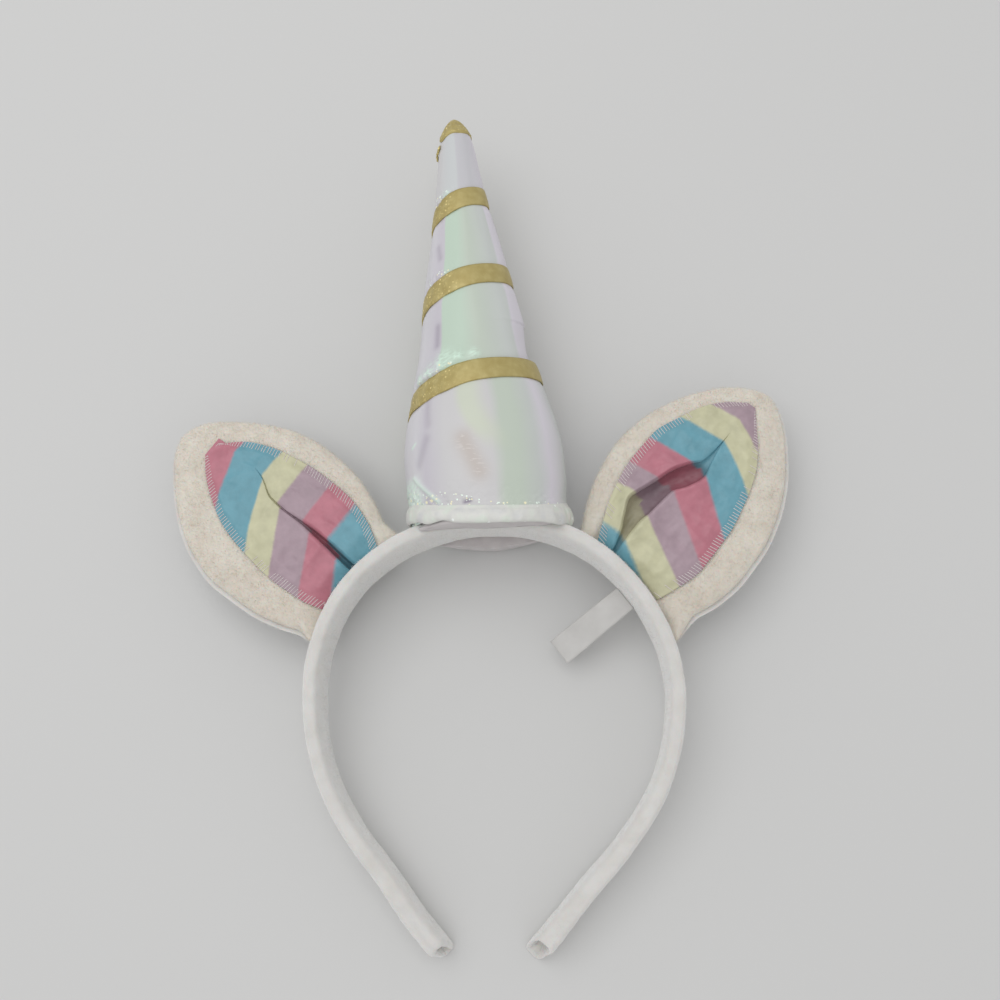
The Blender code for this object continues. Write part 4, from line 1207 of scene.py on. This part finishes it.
stitch = {"length": 3.3, "step": 1.1, "slant": 1.1, "thick": 0.24, "lift": 0.06, "outside": 0.4,
          "onYellow": 0.25, "jitter": 0.12, "lengths": (0.88, 1.08), "first": 1.5, "lastGap": 0.8}


def readGrid(grid, row, column):
    # a grid's value between its rows and columns
    r = min(max(int(row), 0), grid.shape[0] - 2)
    c = min(max(int(column), 0), grid.shape[1] - 2)
    s, t = row - r, column - c
    return ((grid[r, c] * (1 - s) + grid[r + 1, c] * s) * (1 - t)
            + (grid[r, c + 1] * (1 - s) + grid[r + 1, c + 1] * s) * t)


def makeStitches(name, ear, grid, material):
    # single slanted threads over the satin's cut edge, round the patch but not along the band
    forth, across, top, stripe = grid
    draw = np.random.default_rng(81)
    names = [mark[0] for mark in ear["stripes"]]
    lastColumn = forth.shape[1] - 1
    lines = []
    for edgeColumn, way in ((0, 1), (lastColumn, -1)):
        edge = np.stack([forth[:, edgeColumn], across[:, edgeColumn]], -1)
        travelled = lengthsAlong(edge)
        rows = np.arange(len(edge))
        for mark in np.arange(stitch["first"], travelled[-1] - stitch["lastGap"], stitch["step"]):
            mark += draw.uniform(-stitch["jitter"], stitch["jitter"])
            number = int(readGrid(stripe, np.interp(mark, travelled, rows), edgeColumn))
            colour = names[min(number, len(names) - 1)]
            if colour == "yellow" and draw.random() > stitch["onYellow"]:
                continue
            spots = []
            length = stitch["length"] * draw.uniform(*stitch["lengths"])
            for t in np.linspace(0, 1, 6):
                row = float(np.interp(mark - stitch["slant"] * t, travelled, rows))
                inward = np.hypot(forth[int(row)] - edge[int(row), 0], across[int(row)] - edge[int(row), 1])
                inward = inward if way > 0 else inward[::-1]
                step = float(np.interp(min(length * t, inward.max() * 0.4), inward[:40], np.arange(40)))
                column = step if way > 0 else lastColumn - step
                lift = stitch["lift"] - 0.35 * (t == 1) - 0.1 * (t == 0)
                spots.append(earPlace(ear, readGrid(forth, row, column), readGrid(across, row, column),
                                      readGrid(top, row, column) + lift))
            # the thread starts just outside the edge, in the plush
            back = spots[0] - spots[2]
            start = spots[0] + back / max(np.linalg.norm(back), 0.2) * stitch["outside"]
            start[2] -= 0.25
            lines.append(np.array([start, *spots]))
    points, faces = threadAlong(lines, stitch["thick"])
    return makePiece(name, points, faces, material)


creamPlush = clothMaterial("cream plush", (0.690, 0.632, 0.550), (0.765, 0.718, 0.638), 0.95, 7.0, 0.6, 0.10,
                           sheen=0.45, sheenRoughness=0.5, soft=0.15, softScale=0.0018)
whitePlush = clothMaterial("white plush", (0.665, 0.648, 0.625), (0.735, 0.722, 0.700), 0.95, 7.0, 0.6, 0.10,
                           sheen=0.45, sheenRoughness=0.5, soft=0.15, softScale=0.0018)
threadMaterial = clothMaterial("pale thread", (0.68, 0.60, 0.60), (0.80, 0.75, 0.74), 0.6, 3.0, 0.2, 0.02)

for side, ear in ears.items():
    back = makeEarLayer(f"ear_{side}_plush_back", ear, False, whitePlush)
    settle(back, "white_plush", f"ear_{side}_back")
    front = makeEarLayer(f"ear_{side}_plush_front", ear, True, creamPlush)
    settle(front, "cream_plush", f"ear_{side}_front")
    patch, grid = makePatch(f"ear_{side}_satin", ear, satinMaterial(f"striped satin {side}", ear))
    settle(patch, "striped_satin", f"ear_{side}_patch")
    threads = makeStitches(f"ear_{side}_overlock", ear, grid, threadMaterial)
    settle(threads, "striped_satin")
    pileOn(f"ear_{side}_pile_front", front, earBody["frontPile"], earBody["pileLength"], earBody["pileWidth"],
           earBody["pileLean"], 71, creamPlush, "cream_plush",
           keep=lambda out: (out[:, 2] > -0.5) * 1.0)
    pileOn(f"ear_{side}_pile_back", back, earBody["backPile"], earBody["pileLength"], earBody["pileWidth"],
           earBody["pileLean"], 72, whitePlush, "white_plush",
           keep=lambda out: (out[:, 2] < 0.5) * 1.0)
    print(side, "ear is sewn")


# Label: a bare satin tape

label = {"angle": 42.0, "length": 29.0, "width": 9.0, "widerEnd": 0.7, "thickness": 0.28, "rootHeight": 17.5,
         "drop": 8.5, "rows": 60, "columns": 14, "curl": 0.5, "wave": 0.35}


def makeLabel(material):
    here, outward, forward, thickness = bandStation(np.array([label["angle"]]))[:4]
    root = here[0] - outward[0] * (thickness[0] / 2 + 0.3)
    share = np.linspace(0, 1, label["rows"])[:, None]
    side = np.linspace(-0.5, 0.5, label["columns"])[None, :]
    wide = side * (label["width"] + label["widerEnd"] * share)
    points = root - outward[0] * (label["length"] * share)[..., None] + forward[0] * wide[..., None]
    curl = label["curl"] * (2 * side) ** 2 * fadeIn(share, 0.2, 1.0)
    wave = label["wave"] * np.sin(share * 7.0) * (1 + 0.4 * side) * share
    points[..., 2] = label["rootHeight"] - label["drop"] * share ** 1.5 + curl + wave
    under = points.copy()
    under[..., 2] -= label["thickness"]
    return makePiece("satin_label", np.concatenate([points, under[:, ::-1]], 1),
                     slabFaces(label["rows"], label["columns"]), material)


tape = clothMaterial("white tape", (0.550, 0.540, 0.525), (0.600, 0.590, 0.575), 0.5, 5.0, 0.25, 0.02)
settle(makeLabel(tape), "white_tape", "label")
print("label is sewn in")
